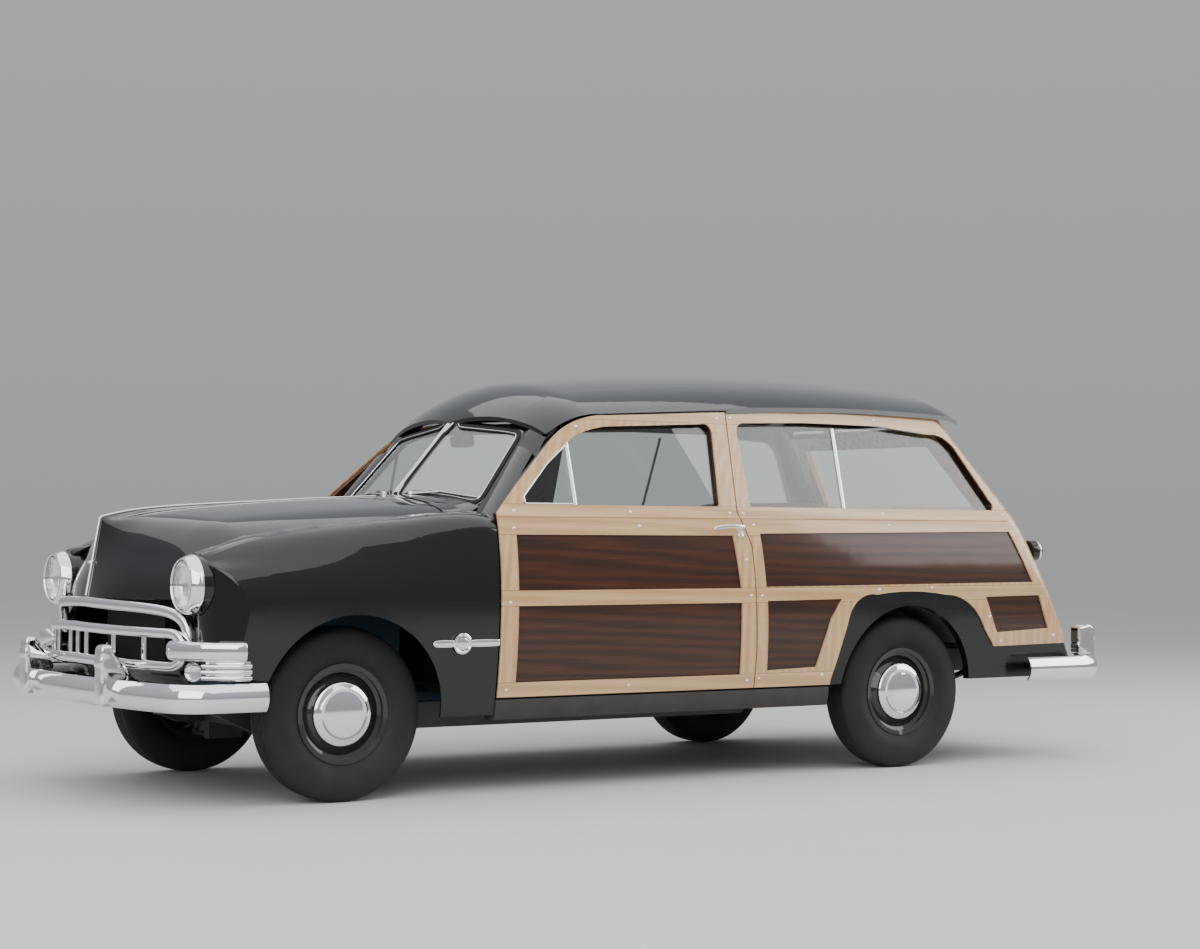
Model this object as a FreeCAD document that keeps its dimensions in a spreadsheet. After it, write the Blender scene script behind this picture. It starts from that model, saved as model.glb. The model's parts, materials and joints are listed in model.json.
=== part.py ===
import FreeCAD, Part
import math
import os
import re
import Sketcher

# Two-door wooden-sided station wagon of about 1951, full size, in millimetres.
# The front faces -Y, the left-hand (driver's) side is +X, and the tyres stand on Z = 0.
# Places along the car are given as distances aft of the front axle.

V = FreeCAD.Vector
doc = FreeCAD.newDocument("StationWagon")

# Driving sizes: alias, value in mm or degrees
driving = [
    # whole car
    ("overall_length", 5130), ("front_overhang", 892), ("wheelbase", 2896),
    ("front_track", 1420), ("rear_track", 1496),
    # body side, as half widths and heights
    ("half_width", 904), ("widest_height", 800), ("side_foot_height", 400), ("sill_height", 392),
    ("tuck_under", 34), ("belt_height", 1150), ("belt_tuck", 42), ("glass_foot_height", 1185),
    ("glass_foot_tuck", 58), ("rail_height", 1640), ("rail_tuck", 204),
    ("wall_thickness", 48), ("wood_thickness", 9), ("pane_thickness", 6), ("seat_gap", 0.3), ("shut_gap", 7),
    ("jamb_lip", 8),
    # side openings, aft of the front axle
    ("door_front", 661), ("door_rear", 1986), ("door_rear_belt", 1905),
    ("window_foot", 1200), ("stile_width", 82), ("rear_stile_width", 78),
    ("belt_rail_foot", 1072), ("mid_rail_top", 842), ("mid_rail_foot", 777), ("foot_rail_top", 462),
    # tail
    ("tail_foot_height", 630), ("tail_foot", 3946), ("tail_belt", 3658), ("tail_belt_height", 1175),
    ("tail_top", 3325), ("tail_top_height", 1620), ("tail_corner_radius", 105), ("tail_taper", 42),
    ("gate_half_width", 640), ("gate_narrowing", 0.75), ("tail_skirt_height", 420),
    ("gate_hinge", 612), ("gate_split", 1165), ("gate_top", 1600), ("gate_rail", 62), ("gate_stile", 70),
    # roof
    ("roof_peak", 1830), ("roof_crown_radius", 1700), ("roof_crown_half", 480), ("roof_side_radius", 786),
    ("roof_skin", 18),
    # windshield
    ("screen_foot", 1248), ("screen_foot_aft", 662), ("screen_top", 1573), ("screen_top_aft", 946),
    ("screen_foot_half", 592), ("screen_top_half", 512), ("screen_sweep", 100), ("pillar_wrap", 70),
    ("cowl_side_height", 1145),
    # wheels
    ("tyre_radius", 352), ("tyre_half_width", 88), ("tyre_fit", 0.3), ("rim_seat", 188),
    ("rim_wall", 6), ("rim_half_width", 66), ("drum_radius", 140), ("drum_depth", 70),
    ("hub_bore", 36), ("hub_depth", 66), ("hub_reach", 28), ("spindle_clearance", 0.05),
    ("hubcap_radius", 129), ("hubcap_face", 62), ("arch_radius", 400),
    ("kingpin_offset", 96), ("kingpin_radius", 14), ("knuckle_reach", 165), ("spring_place", 520),
    # front sheet metal
    ("hood_half_width", 614), ("hood_rear", 573), ("fender_skin", 10), ("hood_skin", 12),
    ("fender_foot", 330), ("fender_inner", 620), ("fender_nose_foot", 500), ("hood_crown_half", 430), ("hood_lip", 808),
    # chassis
    ("rail_outer", 430), ("rail_width", 60), ("frame_foot", 250), ("frame_depth", 110),
    ("rail_end", 3975), ("hitch_spacing", 150), ("hitch_hole", 13),
    ("floor_top", 400), ("floor_skin", 20), ("load_floor_top", 590), ("floor_half_width", 794),
    ("tunnel_half_width", 120), ("wheelhouse_inner", 600), ("wheelhouse_outer", 822),
    # lamps and bumpers
    ("lamp_height", 870), ("lamp_spacing", 681), ("lamp_radius", 115), ("lens_radius", 92),
    ("bumper_foot", 385), ("bumper_top", 495), ("bumper_skin", 9), ("bumper_half_width", 902),
    ("bumper_bow", 26), ("bumper_corner_radius", 150), ("guard_place", 411), ("rear_guard_place", 705),
    # rounded edges
    ("nose_roll", 120), ("fender_roll", 20), ("moulding_roll", 15), ("guard_roll", 14), ("housing_roll", 24),
    # hinges
    ("gate_barrel", 7), ("gate_pin", 3.5), ("hood_barrel", 5), ("hood_pin", 2.5), ("clear", 5),
    ("door_hinge_half", 880), ("door_hinge_aft", 701), ("door_eye", 8), ("door_pin", 3.5), ("door_arm", 6),
    # steering
    ("steering_radius", 215), ("steering_rim", 10), ("column_angle", 28), ("wheel_aft", 1060),
    ("wheel_height", 1010), ("column_place", 370), ("column_radius", 24), ("post_clearance", 20),
]
sheet = doc.addObject("Spreadsheet::Sheet", "Sizes")
for row, (alias, value) in enumerate(driving, start=1):
    sheet.set("A%d" % row, alias)
    sheet.set("B%d" % row, str(value))
    sheet.setAlias("B%d" % row, alias)
doc.recompute()
size = {alias: float(sheet.get(alias)) for alias, value in driving}

axle_front = -size["overall_length"] / 2 + size["front_overhang"]
axle_height = size["tyre_radius"]


def aft(distance):
    """Y of a place given as its distance aft of the front axle."""
    return axle_front + distance


# Outlines: a start point, then points for straight runs and (middle, end) pairs for arcs

def outline(points, place, close=True):
    """Wire from an outline; place turns each pair of numbers into a vector."""
    start = place(*points[0])
    here = start
    edges = []
    for step in points[1:]:
        if isinstance(step[0], tuple):
            middle, end = place(*step[0]), place(*step[1])
            edges.append(Part.Arc(here, middle, end).toShape())
        else:
            end = place(*step)
            edges.append(Part.LineSegment(here, end).toShape())
        here = end
    if close and here.distanceToPoint(start) > 1e-6:
        edges.append(Part.LineSegment(here, start).toShape())
    return Part.Wire(edges)


def side_plate(points, x0, x1):
    """Plate between two X places whose outline is in (Y, Z)."""
    wire = outline(points, lambda y, z: V(x0, y, z))
    return Part.Face(wire).extrude(V(x1 - x0, 0, 0))


def plan_plate(points, z0, z1):
    """Plate between two heights whose outline is in (X, Y)."""
    wire = outline(points, lambda x, y: V(x, y, z0))
    return Part.Face(wire).extrude(V(0, 0, z1 - z0))


def cross_plate(points, y0, y1):
    """Plate between two Y places whose outline is in (X, Z)."""
    wire = outline(points, lambda x, z: V(x, y0, z))
    return Part.Face(wire).extrude(V(0, y1 - y0, 0))


def block(x0, x1, y0, y1, z0, z1):
    return Part.makeBox(x1 - x0, y1 - y0, z1 - z0, V(x0, y0, z0))


def rod(radius, start, end):
    along = end - start
    return Part.makeCylinder(radius, along.Length, start, along)


def mirrored(shape):
    """The same shape on the other side of the car."""
    return shape.mirror(V(0, 0, 0), V(1, 0, 0))


def both_sides(shape):
    return [shape, mirrored(shape)]


def rolled(shape, radius, edges):
    """The shape with some of its edges rounded over."""
    return shape.makeFillet(radius, edges)


def barrel_hinge(y, z, moving, fixed, barrel, pin):
    """Hinge on an axis across the car: moving knuckle, its bore, fixed knuckle with pin, room round the fixed one."""
    def along(radius, start, end):
        return rod(radius, V(start, y, z), V(end, y, z))
    first, last = min(moving + fixed), max(moving + fixed)
    knuckle = along(barrel, *moving)
    bore = along(pin + size["spindle_clearance"], first - 1, last + 1)
    post = along(barrel, *fixed).fuse(along(pin, first, last))
    room = along(barrel + size["clear"], fixed[0] - size["clear"], fixed[1] + size["clear"])
    return knuckle, bore, post, room


pieces = []


def add_piece(name, solids):
    """One named piece of the car, as one solid or several that stand apart."""
    solids = solids if isinstance(solids, list) else [solids]
    shape = solids[0] if len(solids) == 1 else Part.makeCompound(solids)
    feature = doc.addObject("Part::Feature", name)
    feature.Label = name
    feature.Shape = shape
    feature.Placement = FreeCAD.Placement(V(0, 0, 0), FreeCAD.Rotation())
    pieces.append(feature)
    return feature


# Body side: x as a function of height, with an arc below the widest line and one above it

def arc_radius(rise, run):
    return (rise ** 2 + run ** 2) / (2 * run)


foot_radius = arc_radius(size["widest_height"] - size["side_foot_height"], size["tuck_under"])
belt_radius = arc_radius(size["belt_height"] - size["widest_height"], size["belt_tuck"])


def side_tuck(z):
    """How far the body side lies inboard of its widest line at a height."""
    if z <= size["widest_height"]:
        return foot_radius - math.sqrt(foot_radius ** 2 - (size["widest_height"] - z) ** 2)
    if z <= size["belt_height"]:
        return belt_radius - math.sqrt(belt_radius ** 2 - (z - size["widest_height"]) ** 2)
    if z <= size["glass_foot_height"]:
        share = (z - size["belt_height"]) / (size["glass_foot_height"] - size["belt_height"])
        return size["belt_tuck"] + share * (size["glass_foot_tuck"] - size["belt_tuck"])
    share = (z - size["glass_foot_height"]) / (size["rail_height"] - size["glass_foot_height"])
    return size["glass_foot_tuck"] + share * (size["rail_tuck"] - size["glass_foot_tuck"])


def side_outline(z0, outer, inner):
    """Section of the side wall between two depths inboard of the outer face."""
    half, wide, belt = size["half_width"], size["widest_height"], size["belt_height"]
    glass, rail = size["glass_foot_height"], size["rail_height"]
    low, high = (z0 + wide) / 2, (wide + belt) / 2

    def at(z, depth):
        return (half - side_tuck(z) - depth, z)
    return [at(z0, outer), (at(low, outer), at(wide, outer)), (at(high, outer), at(belt, outer)),
            at(glass, outer), at(rail, outer), at(rail, inner), at(glass, inner), at(belt, inner),
            (at(high, inner), at(wide, inner)), (at(low, inner), at(z0, inner))]


def door_wall(outer, inner, y0, y1):
    return cross_plate(side_outline(size["side_foot_height"], outer, inner), y0, y1)


# Tail: the rear plane leans forward, and leans more above the belt

def tail_place(z):
    """Distance aft of the front axle of the rear face at a height."""
    if z <= size["tail_belt_height"]:
        share = (z - size["tail_foot_height"]) / (size["tail_belt_height"] - size["tail_foot_height"])
        return size["tail_foot"] + share * (size["tail_belt"] - size["tail_foot"])
    share = (z - size["tail_belt_height"]) / (size["tail_top_height"] - size["tail_belt_height"])
    return size["tail_belt"] + share * (size["tail_top"] - size["tail_belt"])


def gate_edge(z):
    """Half width of the tailgate, and above the belt of the narrowing liftgate."""
    lean = max(0, side_tuck(z) - size["glass_foot_tuck"])
    return size["gate_half_width"] - size["gate_narrowing"] * lean if z > size["belt_height"] else size["gate_half_width"]


def quarter_strip(z, start, outer, inner):
    """Plan section of the quarter at a height: side arc, corner arc and rear return."""
    x0 = size["half_width"] - side_tuck(z)
    y0, y1 = aft(start), aft(tail_place(z))
    radius, taper = size["tail_corner_radius"], size["tail_taper"]
    y_corner = y1 - radius
    diagonal = math.sqrt(0.5)

    def side(share, depth):
        return (x0 - taper * share ** 2 - depth, y0 + share * (y_corner - y0))

    def corner(depth):
        cx, r = x0 - taper - radius, radius - depth
        middle = (cx + r * diagonal, y_corner + r * diagonal)
        return middle, (cx, y_corner + r)
    rear_x = gate_edge(z) + size["shut_gap"]
    points = [side(0, outer), (side(0.5, outer), side(1, outer)), corner(outer),
              (rear_x, y1 - outer), (rear_x, y1 - inner), corner(inner)[1]]
    back = [(corner(inner)[0], side(1, inner)), (side(0.5, inner), side(0, inner))]
    return outline(points + back, lambda x, y: V(x, y, z))


def quarter_wall(start, outer, inner):
    """The quarter's wall as two lofts that meet at the belt and one up to the roof rail."""
    wide, belt, foot = size["widest_height"], size["belt_height"], size["side_foot_height"]
    glass, rail = size["glass_foot_height"], size["rail_height"]
    low = [foot, (foot + wide) / 2, wide, (wide + belt) / 2, belt]
    lower = Part.makeLoft([quarter_strip(z, start, outer, inner) for z in low], True, False)
    shoulder = Part.makeLoft([quarter_strip(z, start, outer, inner) for z in (belt, glass)], True, True)
    upper = Part.makeLoft([quarter_strip(z, start, outer, inner) for z in (glass, rail)], True, True)
    return lower.fuse([shoulder, upper]).removeSplitter()


# Side outlines in (Y, Z)

def door_outline(inset, foot=0):
    """The door seen from the side, with its front top edge along the windshield post."""
    front, rear, rear_belt = size["door_front"] + inset, size["door_rear"] - inset, size["door_rear_belt"] - inset
    bottom, belt = size["side_foot_height"] + inset + foot, size["belt_height"]
    return [(aft(front), bottom), (aft(front), belt + 10),
            (aft(front + 105), 1265 - inset * 0.3), (aft(front + 335), 1480 - inset * 0.8),
            ((aft(front + 455), 1554 - inset), (aft(front + 640), 1590 - inset)),
            (aft(front + 1230), 1622 - inset), (aft(rear_belt + 38), 1624 - inset),
            (aft(rear_belt), belt + 20), (aft(rear - 26), belt - 120), (aft(rear), 560), (aft(rear), bottom)]


def door_window(inset):
    foot = size["window_foot"] - inset
    return [(aft(800 - inset * 1.6), foot), (aft(808 - inset), 1240),
            (aft(960 - inset * 0.9), 1385 + inset * 0.5), (aft(1098), 1487 + inset),
            ((aft(1200), 1525 + inset), (aft(1330), 1543 + inset)), (aft(1800), 1566 + inset),
            ((aft(1842 + inset), 1556 + inset), (aft(1852 + inset), 1520)),
            (aft(1822 + inset), foot + 20), ((aft(1817 + inset), foot + 5), (aft(1800 + inset), foot))]


def quarter_window(inset):
    foot = size["window_foot"] - inset
    return [(aft(1990 - inset), foot), (aft(1990 - inset), 1520), ((aft(2000 - inset), 1560 + inset), (aft(2045), 1578 + inset)),
            (aft(2400), 1590 + inset), (aft(2850), 1588 + inset), (aft(3170), 1558 + inset),
            ((aft(3290 + inset), 1528 + inset), (aft(3345 + inset), 1462 + inset * 0.5)),
            (aft(3480 + inset), 1240), ((aft(3488 + inset), 1212), (aft(3455 + inset), foot))]


# Wheel arch of the rear quarter: the wood follows a rounded trapezium over the wheel

def rear_arch(grow):
    a = size["wheelbase"]
    return [(aft(a - 470 - grow), 380), (aft(a - 470 - grow), 421),
            (aft(a - 385 - grow), 690 + grow * 0.3),
            ((aft(a - 335 - grow * 0.5), 775 + grow * 0.7), (aft(a - 215), 805 + grow)),
            ((aft(a), 818 + grow), (aft(a + 215), 800 + grow)),
            ((aft(a + 385 + grow * 0.6), 745 + grow * 0.6), (aft(a + 470 + grow), 640)),
            (aft(a + 545 + grow), 545), (aft(a + 545 + grow), 380)]


def wheel_cut(a, x0, x1, radius):
    return Part.makeCylinder(radius, x1 - x0, V(x0, aft(a), axle_height), V(1, 0, 0))


# Doors, on concealed hinges: an arm from the body reaches round to a pin inside the door

door_hinge_heights = (720, 880)


def door_hinge_rod(radius, z0, z1):
    x, y = size["door_hinge_half"], aft(size["door_hinge_aft"])
    return rod(radius, V(x, y, z0), V(x, y, z1))


def door_arm(z):
    """Flat arm from the kick panel to the eye round the door's pin."""
    half, x, a = size["door_arm"] / 2, size["door_hinge_half"], size["door_hinge_aft"]
    points = [(x - 54, aft(a - 71)), (x - 43, aft(a - 71)), (x - 43, aft(a - 35)), (x - 29, aft(a - 15)),
              (x, aft(a - 5)), (x, aft(a + 5)), (x - 34, aft(a - 6)), (x - 53, aft(a - 32)), (x - 54, aft(a - 35))]
    arm = plan_plate(points, z - half, z + half).fuse(door_hinge_rod(size["door_eye"], z - half, z + half))
    return arm.cut(door_hinge_rod(size["door_pin"] + size["spindle_clearance"], z - 20, z + 20))


def door_hinge_pocket(z):
    """Room in the door for the arm at every angle of the door."""
    half, x, a = size["door_arm"] / 2 + size["clear"], size["door_hinge_half"], size["door_hinge_aft"]
    return block(x - 60, x + 20, aft(a - 60), aft(a + size["door_eye"] + size["clear"] + 1), z - half, z + half)


def make_doors():
    wood, wall = size["wood_thickness"], size["wall_thickness"]
    y0, y1 = aft(size["door_front"] - 50), aft(size["door_rear"] + 50)
    core = door_wall(wood, wall, y0, y1)
    skin = side_plate(door_outline(size["jamb_lip"]), 500, 1000)
    window = side_plate(door_window(0), 500, 1000)
    core = core.common(skin).cut(window)
    for height in door_hinge_heights:
        core = core.cut(door_hinge_pocket(height)).fuse(door_hinge_rod(size["door_pin"], height - 20, height + 20))
    # glass groove: the pane stands in the middle of the frame
    pane = door_wall(26, 32, y0, y1).common(side_plate(door_window(6), 500, 1000))
    slot = door_wall(26 - 0.3, 32 + 0.3, y0, y1).common(side_plate(door_window(6 + 0.3), 500, 1000))
    core = core.cut(slot)
    # wooden frame on the outer face
    face = door_wall(0, wood - size["seat_gap"], y0, y1).common(side_plate(door_outline(0), 500, 1000))
    face = face.cut(window)
    front, rear = size["door_front"] + size["stile_width"], size["door_rear"] - size["rear_stile_width"]
    upper = [(aft(front), size["mid_rail_top"]), (aft(front), size["belt_rail_foot"]),
             (aft(rear - 42), size["belt_rail_foot"]), (aft(rear - 12), size["mid_rail_top"])]
    lower = [(aft(front), size["foot_rail_top"]), (aft(front), size["mid_rail_foot"]),
             (aft(rear - 8), size["mid_rail_foot"]), (aft(rear), size["foot_rail_top"])]
    for panel in (upper, lower):
        face = face.cut(side_plate(panel, 500, 1000))
    add_piece("door_left", core)
    add_piece("door_right", mirrored(core))
    add_piece("door_wood_left", face)
    add_piece("door_wood_right", mirrored(face))
    add_piece("door_glass_left", pane)
    add_piece("door_glass_right", mirrored(pane))


def make_quarters():
    wood, wall, gap = size["wood_thickness"], size["wall_thickness"], size["shut_gap"]
    start = size["door_rear_belt"] - 60
    door_hole = side_plate(door_outline(-gap, -60), 500, 1000)
    window = side_plate(quarter_window(0), 500, 1000)
    a = size["wheelbase"]
    wheel = wheel_cut(a, 500, 1000, size["arch_radius"])
    core = quarter_wall(start, wood, wall).cut([door_hole, window, wheel])
    pane = quarter_wall(start, 26, 32).common(side_plate(quarter_window(6), 500, 1000))
    slot = quarter_wall(start, 25.7, 32.3).common(side_plate(quarter_window(6.3), 500, 1000))
    above = roof_space(-200, size["roof_skin"] + size["seat_gap"])
    core = core.cut([slot, above])
    face = quarter_wall(start, 0, wood - size["seat_gap"]).cut([door_hole, window, above])
    face = face.cut(side_plate(rear_arch(0), 500, 1000))
    # the steel skirt below the wood
    face = face.cut(side_plate([(aft(a), 300), (aft(a), 545), (aft(4100), 560), (aft(4100), 300)], 400, 1000))
    post = size["door_rear"] + gap + 62
    upper = [(aft(post - 22), size["mid_rail_top"] + 4), (aft(post - 40), 1082),
             (aft(3560), 1098), (aft(3690), size["mid_rail_top"] + 14)]
    front_low = [(aft(post), 476), (aft(post - 14), 784), (aft(2470), 788), (aft(2410), 700), (aft(2335), 484)]
    rear_low = [(aft(3370), 788), (aft(3435), 640), (aft(3450), 618), (aft(3795), 632), (aft(3730), 792)]
    for panel in (upper, front_low, rear_low):
        face = face.cut(side_plate(panel, 600, 1000))
    add_piece("quarter_left", core)
    add_piece("quarter_right", mirrored(core))
    add_piece("quarter_wood", both_sides(face))
    return pane


# Tail: the body's rear face, its skirt, the liftgate above and the tailgate below

def tail_plate(z0, z1, outer, inner, half0, half1):
    """Flat plate in the leaning rear plane between two heights, with a half width at each."""
    def at(z, depth, x):
        slope = (tail_place(z1) - tail_place(z0)) / (z1 - z0)
        length = math.hypot(1, slope)
        return V(x, aft(tail_place(z)) - depth / length, z + depth * slope / length)
    loops = []
    for depth in (outer, inner):
        corners = [at(z0, depth, -half0), at(z0, depth, half0), at(z1, depth, half1), at(z1, depth, -half1)]
        loops.append(Part.makePolygon(corners + corners[:1]))
    return Part.makeLoft(loops, True, True)


def tailgate_hinge():
    foot = size["gate_hinge"]
    return barrel_hinge(aft(tail_place(foot)), foot, (300, 340), (340.3, 380), size["gate_barrel"], size["gate_pin"])


def liftgate_hinge():
    top = size["gate_top"]
    return barrel_hinge(aft(tail_place(top)), top, (200, 240), (240.3, 280), size["gate_barrel"], size["gate_pin"])


def make_tail():
    wood, wall, gap = size["wood_thickness"], size["wall_thickness"], size["shut_gap"]
    half, belt, hinge, top = size["gate_half_width"], size["gate_split"], size["gate_hinge"], size["gate_top"]
    rail, stile = size["gate_rail"], size["gate_stile"]
    # tailgate: dark panel with a raised wooden border
    gate = tail_plate(hinge, belt - gap / 2, wood, wall, half, half)
    border = tail_plate(hinge, belt - gap / 2, 0, wood, half, half)
    hole = tail_plate(hinge + rail, belt - gap / 2 - rail, -1, wood + 1, half - stile, half - stile)
    knuckle, bore, _, room = tailgate_hinge()
    y, z = aft(tail_place(hinge)), hinge
    leaf = block(300, 340, y - 14, y, z - 6, z + 2)
    gate = gate.cut(both_sides(room)).fuse(both_sides(knuckle) + both_sides(leaf)).cut(both_sides(bore))
    notch = block(300 - size["seat_gap"], 380 + size["clear"], y - 30, y + 30, z - 30, z + size["gate_barrel"] + size["clear"])
    add_piece("tailgate", gate.removeSplitter())
    add_piece("tailgate_wood", border.cut([hole] + both_sides(notch)).translated(V(0, size["seat_gap"], 0)))
    # liftgate: wooden frame round one pane
    foot, edge0, edge1 = belt + gap / 2, gate_edge(belt + gap), gate_edge(top)
    frame = tail_plate(foot, top, 0, wall, edge0, edge1)
    opening = tail_plate(foot + rail, top - rail, -1, wall + 1, edge0 - stile, edge1 - stile)
    pane_hole = tail_plate(foot + rail - 8, top - rail + 8, 19.7, 26.3, edge0 - stile + 8, edge1 - stile + 8)
    pane = tail_plate(foot + rail - 7.7, top - rail + 7.7, 20, 26, edge0 - stile + 7.7, edge1 - stile + 7.7)
    knuckle, bore, _, room = liftgate_hinge()
    frame = frame.cut([opening, pane_hole] + both_sides(room)).fuse(both_sides(knuckle)).cut(both_sides(bore))
    add_piece("liftgate", frame.removeSplitter())
    add_piece("liftgate_glass", pane)


# Roof: the same cross section carried along a centre line, so its front and rear round over

def roof_drop(x):
    """How far the roof lies below its centre line at a half width."""
    crown, half = size["roof_crown_radius"], size["roof_crown_half"]
    if x <= half:
        return crown - math.sqrt(crown ** 2 - x ** 2)
    start = math.asin(half / crown)
    side = size["roof_side_radius"]
    turn = math.asin(min(1, math.sin(start) + (x - half) / side))
    return crown - math.sqrt(crown ** 2 - half ** 2) + side * (math.cos(start) - math.cos(turn))


def tangent_middle(start, heading, end):
    """Middle point of the arc that leaves start along heading and passes through end."""
    chord = (end[0] - start[0], end[1] - start[1])
    length = math.hypot(*chord)
    turn = math.atan2(chord[1], chord[0]) - math.atan2(heading[1], heading[0])
    bow = length / 2 * math.tan(turn / 2)
    return ((start[0] + end[0]) / 2 + bow * chord[1] / length,
            (start[1] + end[1]) / 2 - bow * chord[0] / length)


def arc_heading(start, middle, end):
    """Direction in which the arc through three points arrives at its end."""
    chord = (end[0] - start[0], end[1] - start[1])
    half = (end[0] - middle[0], end[1] - middle[1])
    angle = 2 * math.atan2(half[1], half[0]) - math.atan2(chord[1], chord[0])
    return math.cos(angle), math.sin(angle)


def roof_spine():
    """Centre line of the roof: a front arc and a rear arc, both tangent to the long crown arc."""
    crown_front, crown_peak, crown_rear = (1230, 1762), (2450, size["roof_peak"]), (3290, 1803)
    backwards = arc_heading(crown_rear, crown_peak, crown_front)
    onwards = arc_heading(crown_front, crown_peak, crown_rear)
    front_tip, rear_tip = (930, 1566), (3445, 1728)
    front_middle = tangent_middle(crown_front, backwards, front_tip)
    rear_middle = tangent_middle(crown_rear, onwards, rear_tip)
    points = [front_tip, (front_middle, crown_front), (crown_peak, crown_rear), (rear_middle, rear_tip)]
    return outline(points, lambda a, z: V(0, aft(a), z), close=False)


def roof_space(upper, lower, edge=800):
    """The roof's section between two depths under its outer face, carried along the centre line."""
    half = size["roof_crown_half"]
    middle = (half + edge) / 2
    spine = roof_spine()
    start = spine.Vertexes[0].Point

    def at(x, d):
        return (x, -roof_drop(abs(x)) - d)
    points = [at(-edge, upper), (at(-middle, upper), at(-half, upper)), (at(0, upper), at(half, upper)),
              (at(middle, upper), at(edge, upper)), at(edge, lower), (at(middle, lower), at(half, lower)),
              (at(0, lower), at(-half, lower)), (at(-middle, lower), at(-edge, lower))]
    section = outline(points, lambda x, z: V(x, start.y, start.z + z))
    sweep = Part.BRepOffsetAPI.MakePipeShell(spine)
    sweep.setTrihedronMode(V(0, 0, 0), V(0, 0, 1))
    sweep.add(section)
    sweep.build()
    sweep.makeSolid()
    return sweep.shape()


def cabin_sides(overhang):
    """Room between the two upper side walls, with an overhang past their outer faces."""
    sections = []
    for place in (880, size["door_rear_belt"], 2400, 2900, 3460):
        share = max(0, (place - size["door_rear_belt"]) / 1500)
        taper = size["tail_taper"] * share ** 2 - overhang
        foot, rail = size["glass_foot_height"], size["rail_height"]
        x0 = size["half_width"] - side_tuck(foot) - taper
        x1 = size["half_width"] - side_tuck(rail) - taper
        x2 = x1 - (x0 - x1) * 240 / (rail - foot)
        points = [(-x0, foot), (x0, foot), (x2, rail + 240), (-x2, rail + 240)]
        sections.append(outline(points, lambda x, z: V(x, aft(place), z)))
    return Part.makeLoft(sections, True, True)


def make_roof():
    shell = roof_space(0, size["roof_skin"])
    plan = [(0, aft(934)), (523, aft(984)), (900, aft(1040)), (900, aft(3310)),
            ((560, aft(3395)), (0, aft(3430)))]
    half = plan_plate(plan, 1300, 2000)
    roof = shell.common(cabin_sides(6)).common(half.fuse(mirrored(half)))
    door_hole = side_plate(door_outline(-size["shut_gap"], -60), 500, 1000)
    roof = roof.cut(both_sides(door_hole))
    top, half = size["gate_top"], gate_edge(size["rail_height"]) + size["shut_gap"] - size["seat_gap"]
    header = block(-half, half, aft(tail_place(top) - 78), aft(tail_place(top) - 18), top + size["shut_gap"], top + 160)
    header = header.cut(roof_space(-200, size["roof_skin"] / 2))
    _, _, post, _ = liftgate_hinge()
    strap = block(240.3, 280, aft(tail_place(top) - 24), aft(tail_place(top)), top, top + size["shut_gap"] + 5)
    add_piece("roof", roof.fuse([header] + both_sides(post) + both_sides(strap)))


# Windshield: two flat panes in a vee, between the cowl, the pillars and the roof

def windshield_corner(x_share, z):
    """Point of the vee windshield's plane; x_share is 0 at the centre and 1 at the pillar."""
    rise = (z - size["screen_foot"]) / (size["screen_top"] - size["screen_foot"])
    centre = size["screen_foot_aft"] + rise * (size["screen_top_aft"] - size["screen_foot_aft"])
    half = size["screen_foot_half"] + rise * (size["screen_top_half"] - size["screen_foot_half"])
    x = half * x_share
    return V(x, aft(centre + size["screen_sweep"] * x / size["screen_foot_half"]), z)


def make_windshield():
    """The two panes, cut to the roof above and to the cowl below."""
    low, high = size["screen_foot"] - 110, size["screen_top"]
    above = roof_space(-200, size["roof_skin"] + size["seat_gap"])
    below = cowl_top(1000).translated(V(0, 0, size["seat_gap"]))
    panes = []
    for side in (1, -1):
        corners = [windshield_corner(0.01, low), windshield_corner(1, low), windshield_corner(1, high + 10),
                   windshield_corner(0.01, high + 40)]
        corners = [V(side * c.x, c.y, c.z) for c in corners]
        face = Part.makePolygon(corners + corners[:1])
        back = face.translated(V(0, size["pane_thickness"], 0))
        pane = Part.makeLoft([face, back], True, True).cut([above, below])
        panes.append(max(pane.Solids, key=lambda solid: solid.Volume))
    return panes


def pillar_section(z, depth):
    """Plan section of the windshield post, from the glass round to the door."""
    glass = windshield_corner(1.02, z)
    side = size["half_width"] - side_tuck(z)
    y_side = glass.y + size["pillar_wrap"]
    middle = (glass.x + (side - glass.x) * 0.62, glass.y + size["pillar_wrap"] * 0.25)
    inner = (middle[0] - depth * 0.4, middle[1] + depth * 0.9)
    points = [(glass.x, glass.y), (middle, (side, y_side)), (side - depth, y_side + 4),
              (inner, (glass.x, glass.y + depth))]
    return outline(points, lambda x, y: V(x, y, z))


cowl_table = [
    # aft, centre z, edge z
    (580, 1237, 1139), (654, 1247, 1156), (735, 1252, 1200),
]


def crowned_section(place, centre, edge, half, foot):
    """Crowned cross section with rounded shoulders, as of the hood and the cowl top."""
    flat = size["hood_crown_half"]
    break_z = centre - 0.36 * (centre - edge)
    crown_heading = arc_heading((-flat, break_z), (0, centre), (flat, break_z))
    middle = tangent_middle((flat, break_z), crown_heading, (half, edge))
    points = [(-half, edge), ((-middle[0], middle[1]), (-flat, break_z)), ((0, centre), (flat, break_z)),
              (middle, (half, edge)), (half, foot), (-half, foot)]
    return outline(points, lambda x, z: V(x, aft(place), z))


def cowl_top(foot=0):
    """The crowned cowl top, 45 mm deep unless it is given a flat foot."""
    half = size["fender_inner"] - size["seat_gap"]
    sections = [crowned_section(place, centre, edge, half, foot or edge - 45) for place, centre, edge in cowl_table]
    return Part.makeLoft(sections, True, True)


def steering_line():
    """Centre of the steering wheel, and the direction of its column away from the driver."""
    slope = math.radians(size["column_angle"])
    hub = V(size["column_place"], aft(size["wheel_aft"]), size["wheel_height"])
    return hub, V(0, -math.cos(slope), -math.sin(slope))


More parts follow.
